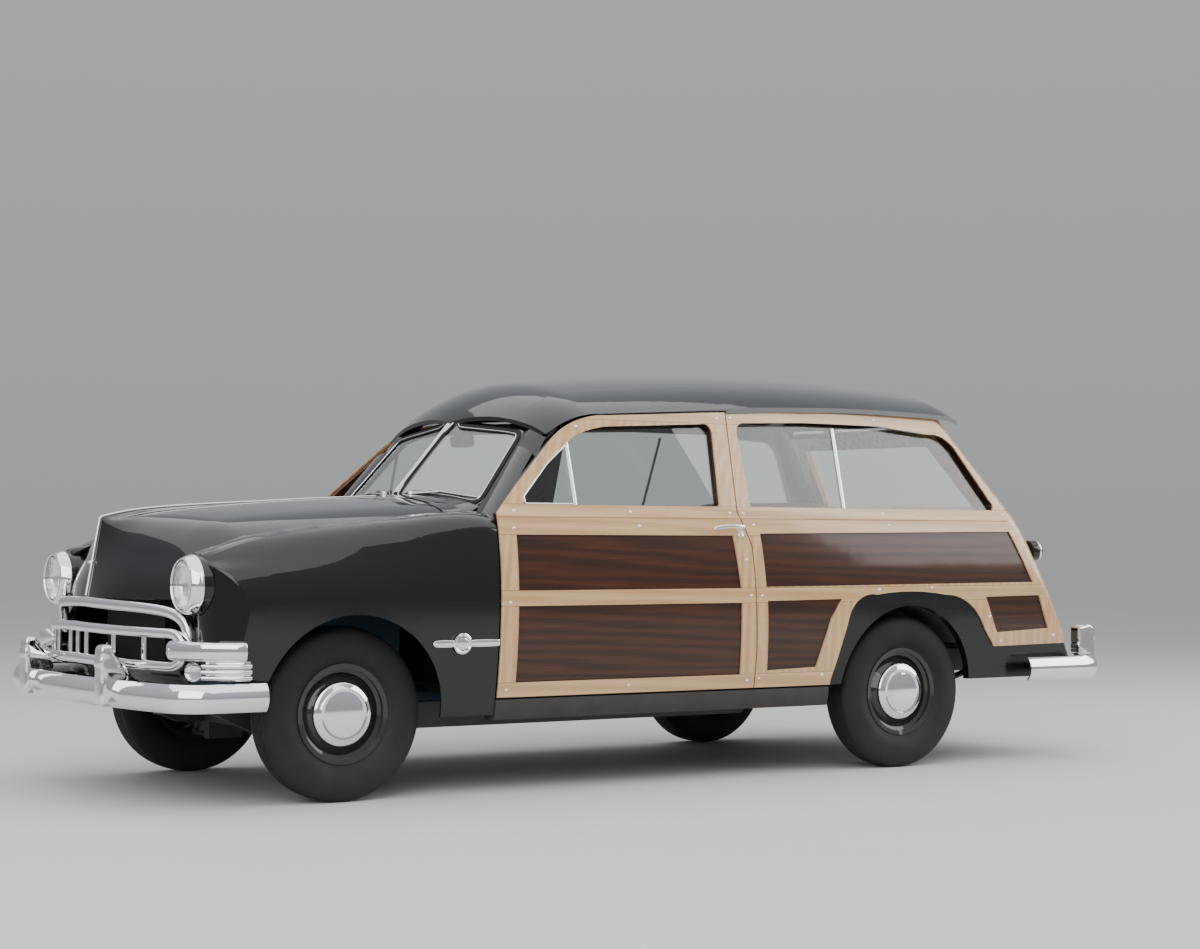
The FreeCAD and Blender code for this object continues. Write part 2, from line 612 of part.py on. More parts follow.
def make_cowl():
    """Firewall, cowl top, windshield posts and instrument panel, as one welded shell."""
    hood_rear, gap, skin = size["hood_rear"], size["shut_gap"], size["fender_skin"]
    wall_room = door_wall(-30, size["wall_thickness"] + size["post_clearance"], aft(0), aft(1500))
    door_hole = wall_room.common(side_plate(door_outline(-gap, -60), 400, 1000))
    posts = Part.makeLoft([pillar_section(z, 60) for z in (1090, 1290, 1440, 1600)], True, True)
    posts = posts.cut([door_hole, roof_space(-200, size["roof_skin"] + size["seat_gap"])])
    fender_back = block(500, 1000, aft(0), aft(size["door_front"] - gap), 0, 1400)
    posts_both = both_sides(posts.cut(fender_back))
    half, foot = size["fender_inner"] - size["seat_gap"], size["sill_height"] + size["seat_gap"]
    firewall = block(-half, half, aft(600), aft(612), 440, size["cowl_side_height"] - 20)
    kick = block(600, 838, aft(600), aft(size["door_front"] - gap), foot, 1160)
    kick = kick.cut(block(612, 826, aft(612), aft(700), 300, 1080)).common(fender_room(skin + size["seat_gap"]))
    kick = both_sides(kick)
    panel = side_plate([(aft(735), 1195), (aft(790), 1180), (aft(800), 1010), (aft(770), 960), (aft(735), 960)], -640, 640)
    hub, lean = steering_line()
    column_hole = rod(size["column_radius"] + size["seat_gap"], hub, hub + lean * 700)
    shell = cowl_top().fuse([firewall, panel] + kick + posts_both).cut(column_hole)
    _, _, post, _ = hood_hinge()
    y, z = aft(hood_rear), 1234
    swing = rod(size["hood_barrel"] + size["clear"], V(-45, y, z), V(45, y, z))
    strap = block(-15, 15, y, aft(hood_rear + 14), z - 4, z + 2)
    shell = shell.cut(swing).fuse([strap, post, mirrored(post)])
    for height in door_hinge_heights:
        shell = shell.fuse(both_sides(door_arm(height)))
    return shell.removeSplitter()


# Front fenders: a skin whose section changes along the car, closed in front round the lamp

fender_table = [
    # aft, half width, shoulder x, shoulder z, crown x, crown z, seam z
    (650, 902, 877, 1075, 815, 1150, 1147),
    (200, 900, 868, 1040, 780, 1130, 1114),
    (-150, 892, 852, 1008, 765, 1098, 1088),
    (-412, 880, 836, 972, 752, 1060, 1051),
    (-566, 864, 818, 935, 742, 1020, 1005),
    (-700, 836, 792, 896, 728, 975, 950),
]


def fender_section(row, depth):
    place, half, x1, z1, x2, z2, z3 = row
    foot, wide, seam = size["fender_foot"], size["widest_height"], size["fender_inner"]
    half, x1, z1, x2, z2, z3 = half - depth, x1 - depth, z1 - depth * 0.4, x2 - depth * 0.4, z2 - depth, z3 - depth
    low, tuck = (foot + wide) / 2, foot_radius - math.sqrt(foot_radius ** 2 - (wide - foot) ** 2)
    low_tuck = foot_radius - math.sqrt(foot_radius ** 2 - (wide - low) ** 2)
    side_middle = tangent_middle((half, wide), (0, 1), (x1, z1))
    shoulder = arc_heading((half, wide), side_middle, (x1, z1))
    corner_middle = tangent_middle((x1, z1), shoulder, (x2, z2))
    crown = arc_heading((x1, z1), corner_middle, (x2, z2))
    top_middle = tangent_middle((x2, z2), crown, (seam, z3))
    inner = seam - 60 - depth
    points = [(half - tuck, foot - depth), ((half - low_tuck, low), (half, wide)), (side_middle, (x1, z1)),
              (corner_middle, (x2, z2)), (top_middle, (seam, z3)), (inner, z3), (inner, foot - depth)]
    return outline(points, lambda x, z: V(x, aft(place), z))


def fender_room(depth):
    rows = fender_table
    if depth:
        rows = [(rows[0][0] + 5,) + rows[0][1:]] + rows[1:]
    return Part.makeLoft([fender_section(row, depth) for row in rows], True, False)


def nose_plan(inset, inner=0):
    """Plan outline of the front end on one side, from the centre line to behind the wheel."""
    return [(inner, aft(-690 + inset)), ((430, aft(-672 + inset)), (650, aft(-640 + inset))),
            ((800 - inset * 0.7, aft(-585 + inset * 0.7)), (880 - inset, aft(-440))),
            (930 - inset, aft(-300)), (930 - inset, aft(700)), (inner, aft(700))]


def make_fenders():
    skin, lamp = size["fender_skin"], size["lamp_radius"]
    outer = fender_room(0).common(plan_plate(nose_plan(0), 200, 1300))
    outer = outer.cut(block(400, size["fender_inner"], aft(-900), aft(700), 0, 1400))
    front = [edge for edge in outer.Edges if edge.BoundBox.YMax < aft(-300) and edge.BoundBox.XMax > 640]
    front = [edge for edge in front if edge.BoundBox.XLength > 1 or edge.BoundBox.YLength > 1]
    outer = rolled(outer, size["fender_roll"], [edge for edge in front if edge.BoundBox.ZMax > 700])
    inner = fender_room(skin).common(plan_plate(nose_plan(skin, -10), 100, 1300))
    fender = outer.cut(inner)
    fender = fender.cut(block(400, 1000, aft(-900), aft(-300), 0, size["fender_nose_foot"]))
    fender = fender.cut(wheel_cut(0, 400, 1000, size["arch_radius"]))
    bucket = rod(lamp + size["seat_gap"], V(size["lamp_spacing"], aft(-800), size["lamp_height"]),
                 V(size["lamp_spacing"], aft(-560), size["lamp_height"]))
    fender = fender.cut(bucket)
    add_piece("fender_left", fender)
    add_piece("fender_right", mirrored(fender))


# Hood: crowned sections cut by a vee-shaped leaning nose

hood_table = [
    # aft, centre z, seam z
    (573, 1236, 1138), (200, 1218, 1114), (-150, 1194, 1088), (-412, 1170, 1050), (-566, 1148, 1003),
    (-680, 1122, 952), (-800, 1085, 880),
]


def hood_section(row, depth):
    place, centre, seam = row
    return crowned_section(place, centre - depth, seam - depth, size["hood_half_width"] - depth, 600 - depth)


def hood_nose(inset):
    """The hood's plan, larger at the foot of the leaning prow than at its top."""
    sections = []
    for z, prow in ((700, -805), (1250, -688)):
        tip, edge = prow + inset * 1.1, prow + 118 + inset
        points = [(0, aft(tip)), ((330, aft(tip + 34)), (560, aft(edge))), (640, aft(edge + 60)), (640, aft(620)),
                  (-640, aft(620)), (-640, aft(edge + 60)), (-560, aft(edge)), ((-330, aft(tip + 34)), (0, aft(tip)))]
        sections.append(outline(points, lambda x, y: V(x, y, z)))
    return Part.makeLoft(sections, True, True)


def hood_space(rows, depth):
    """The hood's room between its crown and its prow, with the edge between the two rolled over."""
    space = Part.makeLoft([hood_section(row, depth) for row in rows], True, False).common(hood_nose(depth))
    brow = [edge for edge in space.Edges if edge.BoundBox.YMax < aft(-560) and edge.BoundBox.ZMin > 850]
    return rolled(space, size["nose_roll"] - depth, brow)


def hood_hinge():
    """Hinge in the gap between hood and cowl, on the centre line."""
    barrel = size["hood_barrel"]
    return barrel_hinge(aft(size["hood_rear"]), 1234, (15.3, 40), (-15, 15), barrel, size["hood_pin"])


def make_hood():
    skin = size["hood_skin"]
    deep = [(hood_table[0][0] + 5,) + hood_table[0][1:]] + hood_table[1:]
    hood = hood_space(hood_table, 0).cut(hood_space(deep, skin))
    knuckle, bore, _, room = hood_hinge()
    hood = hood.cut(room).fuse(both_sides(knuckle)).cut(both_sides(bore))
    lip = side_plate([(aft(-900), size["hood_lip"]), (aft(-660), size["hood_lip"]), (aft(-560), 930),
                      (aft(700), 1030), (aft(700), 500), (aft(-900), 500)], -700, 700)
    hood = hood.cut(lip)
    bucket = rod(size["lamp_radius"] + 6, V(size["lamp_spacing"], aft(-900), size["lamp_height"]),
                 V(size["lamp_spacing"], aft(-500), size["lamp_height"]))
    hood = hood.cut([bucket, mirrored(bucket)])
    solids = sorted(hood.Solids, key=lambda solid: solid.Volume)
    add_piece("hood", solids[-1])


# Front end below the hood: nose panel, chrome grille, lamps and bumper

def front_strip(front, depth, half, z0, z1, sweep=70):
    """Bar of even depth that bows forward in plan, between two heights."""
    edge = front + sweep
    points = [(-half, aft(edge)), ((0, aft(front)), (half, aft(edge))), (half, aft(edge + depth)),
              ((0, aft(front + depth)), (-half, aft(edge + depth)))]
    return plan_plate(points, z0, z1)


def foremost(shape):
    return min(shape.Faces, key=lambda face: face.CenterOfMass.y)


def make_nose():
    skin = size["fender_skin"]
    panel = plan_plate(nose_plan(0), size["fender_nose_foot"] - 30, 792).cut(plan_plate(nose_plan(skin, -1), 300, 900))
    panel = panel.common(block(0, size["fender_inner"] - 0.3, aft(-800), aft(-500), 300, 900))
    panel = panel.fuse(mirrored(panel)).removeSplitter()
    mouth = cross_plate([(-540, 540), (540, 540), ((575, 555), (585, 600)), (570, 700), ((520, 762), (440, 770)),
                         (-440, 770), ((-520, 762), (-570, 700)), (-585, 600), ((-575, 555), (-540, 540))],
                        aft(-900), aft(-500))
    lamps = both_sides(rod(size["lamp_radius"] + 4 * size["seat_gap"], V(size["lamp_spacing"], aft(-800), size["lamp_height"]),
                           V(size["lamp_spacing"], aft(-560), size["lamp_height"])))
    add_piece("nose_panel", panel.cut([mouth] + lamps))


def make_grille():
    # arch moulding under the hood lip
    band = cross_plate([(-762, 640), ((-735, 712), (-640, 746)), ((0, 800), (640, 746)), ((735, 712), (762, 640)),
                        (724, 640), ((700, 690), (620, 708)), ((0, 760), (-620, 708)), ((-700, 690), (-724, 640))],
                       aft(-900), aft(-400))
    nose = plan_plate(nose_plan(-size["seat_gap"]), 300, 1000)
    arch = band.common(front_strip(-742, 60, 780, 600, 830, sweep=100)).cut([nose, mirrored(nose)])
    # floating ring: two bars joined by rounded ends
    ring = cross_plate([(-560, 560), (560, 560), ((625, 630), (560, 705)), (-560, 705), ((-625, 630), (-560, 560))],
                       aft(-900), aft(-500))
    hole = cross_plate([(-520, 600), (520, 600), ((548, 632), (520, 664)), (-520, 664), ((-548, 632), (-520, 600))],
                       aft(-900), aft(-500))
    ring = ring.cut(hole).common(front_strip(-815, 62, 640, 500, 760, sweep=78))
    ring = rolled(ring, size["moulding_roll"], foremost(ring).Edges)
    bars = []
    for x in (-330, -110, 0, 110, 330):
        bar = front_strip(-795, 24, 640, 596, 668, sweep=78).common(block(x - 16, x + 16, aft(-900), aft(-500), 500, 800))
        bars.append(bar)
    ring = ring.fuse(bars).removeSplitter()
    # corner housings over the parking lamps
    def housing(z0, z1, inset):
        points = [(560 + inset, aft(-735)), ((700, aft(-740 + inset)), (800, aft(-660 + inset * 0.7))),
                  ((890 - inset, aft(-590)), (915 - inset, aft(-432 - inset))), (885, aft(-432 - inset)),
                  ((862, aft(-560)), (790, aft(-622))), ((720, aft(-662)), (640, aft(-672)))]
        return plan_plate(points, z0, z1)
    wing = housing(572, 655, 0)
    lid = max(wing.Faces, key=lambda face: face.CenterOfMass.z)
    wing = rolled(wing, size["housing_roll"], [edge for edge in lid.Edges if edge.CenterOfMass.y < aft(-400)][:3])
    fins = [housing(z, z + 18, 12) for z in (500, 526, 552)]
    fins = [fin.common(block(790, 1000, aft(-900), aft(-300), 400, 700)) for fin in fins]
    web = housing(500, 575, 22).common(block(790, 1000, aft(-900), aft(-300), 400, 700))
    wing = wing.fuse(fins + [web]).removeSplitter()
    add_piece("grille", [arch, ring] + both_sides(wing))


def bumper_blade(centre, corner, end, sign):
    """Bumper blade: a bowed skin along a shallow arc, round both corners and along the sides; sign -1 is in front."""
    foot, top, skin, bow = size["bumper_foot"], size["bumper_top"], size["bumper_skin"], size["bumper_bow"]
    side, radius = size["bumper_half_width"], size["bumper_corner_radius"]
    middle, rise = (foot + top) / 2, (top - foot) / 2
    sweep = arc_radius(side - radius, abs(corner - centre))
    turn = math.asin((side - radius) / (sweep - radius))
    sweep_axis = V(0, aft(centre) - sign * sweep, middle)
    corner_axis = V(side - radius, sweep_axis.y + sign * (sweep - radius) * math.cos(turn), middle)
    points = [(0, -rise), ((bow, 0), (0, rise)), (-skin, rise), ((bow - skin, 0), (-skin, -rise))]
    section = Part.Face(outline(points, lambda out, z: V(0, aft(centre) + sign * out, middle + z)))
    up, angle = V(0, 0, 1), -sign * math.degrees(turn)
    section.rotate(sweep_axis, up, -angle)
    front = section.revolve(sweep_axis, up, 2 * angle)
    section.rotate(sweep_axis, up, 2 * angle)
    bend = section.revolve(corner_axis, up, -sign * 90 - angle)
    section.rotate(corner_axis, up, -sign * 90 - angle)
    wing = section.extrude(V(0, aft(end) - corner_axis.y, 0))
    return front.fuse([bend, wing, mirrored(bend), mirrored(wing)]).removeSplitter()


def bumper_guard(line, place, half):
    """Upright guard whose cheeks are rounded over."""
    guard = side_plate(line, place - half, place + half)
    cheeks = [face for face in guard.Faces if abs(face.normalAt(0, 0).x) > 0.9]
    return rolled(guard, size["guard_roll"], [edge for face in cheeks for edge in face.Edges])


def make_bumpers():
    tip = -size["front_overhang"]
    rear_tip = size["overall_length"] - size["front_overhang"]
    front = bumper_blade(tip + 44, tip + 120, -400, -1)
    guard_line = [(aft(tip), 420), (aft(tip), 540), ((aft(tip + 8), 600), (aft(tip + 40), 622)), (aft(tip + 66), 610),
                  (aft(tip + 66), 498), (aft(tip + 34), 440), (aft(tip + 34), 398), (aft(tip + 10), 392)]
    front = front.fuse(both_sides(bumper_guard(guard_line, size["guard_place"], 36)))
    iron = both_sides(block(385, 425, aft(tip + 58), aft(-640.3), 405, 440))
    front = front.fuse(iron)
    add_piece("front_bumper", front.removeSplitter())
    rear = bumper_blade(rear_tip - 30, rear_tip - 96, rear_tip - 620, 1)
    guard_line = [(aft(rear_tip), 430), (aft(rear_tip), 560), ((aft(rear_tip - 8), 622), (aft(rear_tip - 40), 640)),
                  (aft(rear_tip - 112), 628), (aft(rear_tip - 112), 500), (aft(rear_tip - 40), 440),
                  (aft(rear_tip - 40), 400), (aft(rear_tip - 10), 395)]
    rear = rear.fuse(both_sides(bumper_guard(guard_line, size["rear_guard_place"], 34)))
    iron = both_sides(block(385, 425, aft(size["rail_end"]) + size["seat_gap"], aft(rear_tip - 27.8), 432, 448))
    rear = rear.fuse(iron)
    add_piece("rear_bumper", rear.removeSplitter())


def make_lamps():
    x, z, r = size["lamp_spacing"], size["lamp_height"], size["lamp_radius"]
    face = aft(-668)

    def turned(points, y0):
        """Solid of revolution about the lamp's fore-and-aft axis; points are (radius, y)."""
        wire = outline(points, lambda rr, y: V(x + rr, y0 + y, z))
        return Part.Face(wire).revolve(V(x, 0, z), V(0, 1, 0), 360)
    lens_r = size["lens_radius"]
    rim = turned([(lens_r, 0), ((r - 4, 4), (r, 22)), (r, 62), (r - 14, 62), (lens_r - 4, 20)], face)
    lens = turned([(0, -16), ((lens_r * 0.55, -11), (lens_r - 4.3, 6)), (lens_r - 4.3, 19.7), (lens_r - 20, 60), (0, 80)], face)
    add_piece("headlamp_rims", both_sides(rim))
    add_piece("headlamps", both_sides(lens))
    park = Part.makeCylinder(34, 40, V(745, aft(-700), 537.7), V(0.35, 1, 0))
    add_piece("parking_lamps", both_sides(park))
    tail_x, tail_z = 792, 1004
    tail_y = aft(tail_place(tail_z)) - 40
    tail = Part.makeCylinder(46, 70, V(tail_x, tail_y, tail_z), V(0.25, 1, 0.1))
    tail = tail.cut(quarter_wall(size["door_rear"], -size["seat_gap"], 80))
    outermost = max(tail.Solids, key=lambda solid: solid.CenterOfMass.y)
    add_piece("tail_lamps", both_sides(outermost))


# Running gear: turned bodies whose sketches take their sizes from the sheet

def origin_plane(body, role):
    return [item for item in body.Origin.OriginFeatures if item.Role == role][0]


def turned_body(name, profile, centre):
    """Body turned about its X axis; profile lists (along, radius) as sheet expressions."""
    body = doc.addObject("PartDesign::Body", name)
    body.Label = name
    sketch = body.newObject("Sketcher::SketchObject", name + "_profile")
    sketch.AttachmentSupport = [(origin_plane(body, "XY_Plane"), "")]
    sketch.MapMode = "FlatFace"
    places = [tuple(float(sheet_value(text)) for text in pair) for pair in profile]
    for i, place in enumerate(places):
        after = places[(i + 1) % len(places)]
        sketch.addGeometry(Part.LineSegment(V(place[0], place[1], 0), V(after[0], after[1], 0)))
    count = len(places)
    for i in range(count):
        sketch.addConstraint(Sketcher.Constraint("Coincident", i, 2, (i + 1) % count, 1))
    for i, pair in enumerate(profile):
        for kind, text, value in zip(("DistanceX", "DistanceY"), pair, places[i]):
            index = sketch.addConstraint(Sketcher.Constraint(kind, -1, 1, i, 1, value))
            label = "%s_%d" % (kind, i)
            sketch.renameConstraint(index, label)
            sketch.setExpression("Constraints." + label, sheet_expression(text))
    turn = body.newObject("PartDesign::Revolution", name + "_turn")
    turn.Profile = sketch
    turn.ReferenceAxis = (sketch, ["H_Axis"])
    turn.Angle = 360
    body.Placement = FreeCAD.Placement(centre, FreeCAD.Rotation())
    pieces.append(body)
    return body


def sheet_expression(text):
    """Expression in which each alias is read from the sheet."""
    return re.sub(r"[a-z_]{2,}", lambda found: "Sizes." + found.group(0), text)


def sheet_value(text):
    """Value of such an expression, worked out by a spare cell of the sheet."""
    sheet.set("D1", "=" + text)
    sheet.recompute()
    return sheet.get("D1")


# tyre section: beads on the rim, bulging sides, flat tread, and the air space inside
tyre_profile = [
    ("rim_half_width - 8", "rim_seat + tyre_fit"), ("rim_half_width - 8", "rim_seat + 15"),
    ("tyre_half_width - 10", "rim_seat + 38"),
    ("tyre_half_width", "rim_seat + 78"), ("tyre_half_width - 4", "tyre_radius - 44"),
    ("tyre_half_width - 16", "tyre_radius - 18"), ("tyre_half_width - 32", "tyre_radius - 4"),
    ("tyre_half_width - 60", "tyre_radius"),
    ("60 - tyre_half_width", "tyre_radius"),
    ("32 - tyre_half_width", "tyre_radius - 4"), ("16 - tyre_half_width", "tyre_radius - 18"),
    ("4 - tyre_half_width", "tyre_radius - 44"), ("-tyre_half_width", "rim_seat + 78"),
    ("10 - tyre_half_width", "rim_seat + 38"), ("8 - rim_half_width", "rim_seat + 15"),
    ("8 - rim_half_width", "rim_seat + tyre_fit"),
    ("24 - rim_half_width", "rim_seat + tyre_fit"), ("24 - tyre_half_width", "rim_seat + 70"),
    ("40 - tyre_half_width", "tyre_radius - 22"), ("tyre_half_width - 40", "tyre_radius - 22"),
    ("tyre_half_width - 24", "rim_seat + 70"), ("rim_half_width - 24", "rim_seat + tyre_fit"),
]

# wheel: rim, dished disc, hub with its bore, brake drum and hubcap
wheel_profile = [
    ("-hub_depth", "hub_bore / 2 + spindle_clearance"), ("hub_reach", "hub_bore / 2 + spindle_clearance"),
    ("hub_reach", "0"), ("hubcap_face + 18", "0"), ("hubcap_face + 15", "hubcap_radius * 0.45"),
    ("hubcap_face + 8", "hubcap_radius * 0.82"), ("hubcap_face", "hubcap_radius"),
    ("hubcap_face - 14", "hubcap_radius"), ("hubcap_face - 20", "hubcap_radius + 6"),
    ("20", "rim_seat - 26"), ("24", "rim_seat - 24"), ("40", "rim_seat - 22"), ("46", "rim_seat - rim_wall"),
    ("rim_half_width - rim_wall + 2", "rim_seat - rim_wall"), ("rim_half_width", "rim_seat + 14"),
    ("rim_half_width - rim_wall", "rim_seat + 14"), ("rim_half_width - rim_wall - 1", "rim_seat"),
    ("44", "rim_seat"), ("38", "rim_seat - 17"), ("-38", "rim_seat - 17"), ("-44", "rim_seat"),
    ("rim_wall + 1 - rim_half_width", "rim_seat"), ("rim_wall - rim_half_width", "rim_seat + 14"),
    ("-rim_half_width", "rim_seat + 14"), ("rim_wall - 2 - rim_half_width", "rim_seat - rim_wall"),
    ("-46", "rim_seat - rim_wall"), ("-40", "rim_seat - 22"), ("10", "rim_seat - 26"),
    ("14", "drum_radius"), ("2", "70"), ("-16", "70"), ("-16", "drum_radius"),
    ("-drum_depth", "drum_radius"), ("-drum_depth", "drum_radius - 9"), ("-25", "drum_radius - 9"),
    ("-25", "38"), ("-hub_depth", "38"),
]

wheels = [
    # name, side, aft, track
    ("fl", 1, 0, "front_track"), ("fr", -1, 0, "front_track"),
    ("rl", 1, size["wheelbase"], "rear_track"), ("rr", -1, size["wheelbase"], "rear_track"),
]


def make_wheels():
    for name, side, place, track in wheels:
        centre = V(side * size[track] / 2, aft(place), axle_height)
        for kind, profile in (("tyre_", tyre_profile), ("wheel_", wheel_profile)):
            body = turned_body(kind + name, profile, centre)
            if side < 0:
                body.Placement = FreeCAD.Placement(centre, FreeCAD.Rotation(V(0, 0, 1), 180))


def make_knuckles():
    """Spindle, backing plate, upright and steering arm of each front wheel."""
    x0, y0, z0 = size["front_track"] / 2, aft(0), axle_height
    pin_x, reach = x0 - size["kingpin_offset"], size["knuckle_reach"]
    plate_x = x0 - size["drum_depth"] - 9
    upright = rod(22, V(pin_x, y0, z0 - reach + 18), V(pin_x, y0, z0 + reach - 18))
    pins = rod(size["kingpin_radius"], V(pin_x, y0, z0 - reach - 16), V(pin_x, y0, z0 + reach + 16))
    spindle = rod(size["hub_bore"] / 2, V(pin_x, y0, z0), V(x0 + size["hub_reach"] - 6, y0, z0))
    plate = Part.makeCylinder(size["drum_radius"] - 2, 4, V(plate_x, y0, z0), V(1, 0, 0))
    carrier = block(pin_x - 10, plate_x + 2, y0 - 34, y0 + 34, z0 - 34, z0 + 34)
    arm = block(pin_x - 14, pin_x + 14, y0 + 20, y0 + 180, z0 - 74, z0 - 54)
    arm = arm.fuse(block(pin_x - 14, pin_x + 14, y0 + 20, y0 + 34, z0 - 74, z0 - 30))
    knuckle = upright.fuse([pins, spindle, plate, carrier, arm]).removeSplitter()
    add_piece("knuckle_left", knuckle)
    add_piece("knuckle_right", mirrored(knuckle))


def make_front_suspension():
    """Cross member between the rails with a wishbone under and over each spring."""
    y0, z0, reach = aft(0), axle_height, size["knuckle_reach"]
    pin_x = size["front_track"] / 2 - size["kingpin_offset"]
    inside = size["rail_outer"] - size["rail_width"] - size["seat_gap"]
    eye = size["kingpin_radius"] + size["spindle_clearance"]
    foot = size["frame_foot"]
    shape = block(-inside, inside, y0 - 80, y0 + 80, foot, foot + 90)
    for sign in (1, -1):
        x0, x1 = sorted((sign * (inside - 50), sign * inside))
        shape = shape.fuse(block(x0, x1, y0 - 80, y0 + 80, z0 - reach - 12, z0 + reach + 8))
        for z in (z0 - reach, z0 + reach):
            boss = Part.makeCylinder(26, 26, V(sign * pin_x, y0, z - 13))
            points = [(sign * (inside - 20), y0 - 80), (sign * pin_x, y0 - 20), (sign * pin_x, y0 + 20),
                      (sign * (inside - 20), y0 + 80)]
            hole = Part.makeCylinder(eye, 60, V(sign * pin_x, y0, z - 30))
            shape = shape.fuse(plan_plate(points, z - 8, z + 8).fuse(boss).cut(hole))
        shape = shape.fuse(rod(48, V(sign * 485, y0, z0 - reach), V(sign * 485, y0, z0 + reach)))
    add_piece("front_suspension", shape.removeSplitter())


def leaf_pack(y0, z0, place):
    """Leaf spring: four leaves bent about one centre, each shorter than the one above it."""
    thick, reaches = 10, (690, 520, 380, 240)
    bend = arc_radius(reaches[0], 110)

    def at(radius, reach):
        return (y0 + reach, z0 + bend - math.sqrt(radius ** 2 - reach ** 2))

    points = [at(bend, -reaches[0]), (at(bend, 0), at(bend, reaches[0]))]
    for count, (reach, inner) in enumerate(zip(reaches, reaches[1:] + (0,)), 1):
        radius = bend + count * thick
        points.append(at(radius, reach))
        if inner:
            points.append((at(radius, (reach + inner) / 2), at(radius, inner)))
        else:
            points.append((at(radius, 0), at(radius, -reach)))
    for count, (reach, outer) in reversed(list(enumerate(zip(reaches[1:], reaches), 1))):
        radius = bend + count * thick
        points.append(at(radius, -reach))
        points.append((at(radius, -(reach + outer) / 2), at(radius, -outer)))
    return side_plate(points, place - 32, place + 32)


def make_rear_axle():
    """Axle tube, differential, propeller shaft, backing plates and spindles on two leaf springs."""
    half, y0, z0 = size["rear_track"] / 2, aft(size["wheelbase"]), axle_height
    ends, spring = half - size["drum_depth"] - 6, size["spring_place"]
    axle = rod(38, V(-ends, y0, z0), V(ends, y0, z0))
    bulb_line = outline([(-118, 0), ((0, -118), (118, 0))], lambda x, z: V(x, y0, z0 + z))
    bulb = Part.Face(bulb_line).revolve(V(0, y0, z0), V(1, 0, 0), 360)
    shaft = rod(34, V(0, aft(1001), 388), V(0, y0, z0))
    plate = Part.makeCylinder(size["drum_radius"] - 2, 4, V(ends - 3, y0, z0), V(1, 0, 0))
    spindle = rod(size["hub_bore"] / 2, V(ends - 10, y0, z0), V(half + size["hub_reach"] - 6, y0, z0))
    leaves = leaf_pack(y0, z0 - 40, spring)
    saddle = block(spring - 40, spring + 40, y0 - 50, y0 + 50, z0 - 42, z0 - 10)
    one_side = [plate, spindle, saddle, leaves]
    axle = axle.fuse([bulb, shaft] + one_side + [mirrored(item) for item in one_side])
    add_piece("rear_axle", axle.removeSplitter())


def make_frame():
    outer, width, depth, foot = size["rail_outer"], size["rail_width"], size["frame_depth"], size["frame_foot"]
    line = [(aft(-640), 352), (aft(-420), 352), (aft(-200), foot), (aft(2250), foot), (aft(2500), 430),
            (aft(3250), 430), (aft(3480), 410), (aft(size["rail_end"]), 410)]
    top = [(y, z + depth) for y, z in reversed(line)]
    rail = side_plate(line + top, outer - width, outer)
    members = [
        # aft, foot, height, depth along the car
        (-560, 360, 90, 60), (1050, foot + 4, 76, 90), (1980, foot + 4, 70, 80), (3890, 415, 80, 70),
    ]
    reach = outer - width / 2
    cross = [block(-reach, reach, aft(a), aft(a + long), z, z + tall) for a, z, tall, long in members]
    frame = rail.fuse([mirrored(rail)] + cross).removeSplitter()
    holes = [rod(size["hitch_hole"] / 2, V(x, aft(y), 400), V(x, aft(y), 500))
             for x in (-size["hitch_spacing"] / 2, size["hitch_spacing"] / 2) for y in (3905, 3945)]
    holes.append(rod(24 + size["seat_gap"], V(-300, aft(1000), 288), V(-300, aft(2100), 288)))
    add_piece("frame", frame.cut(holes))


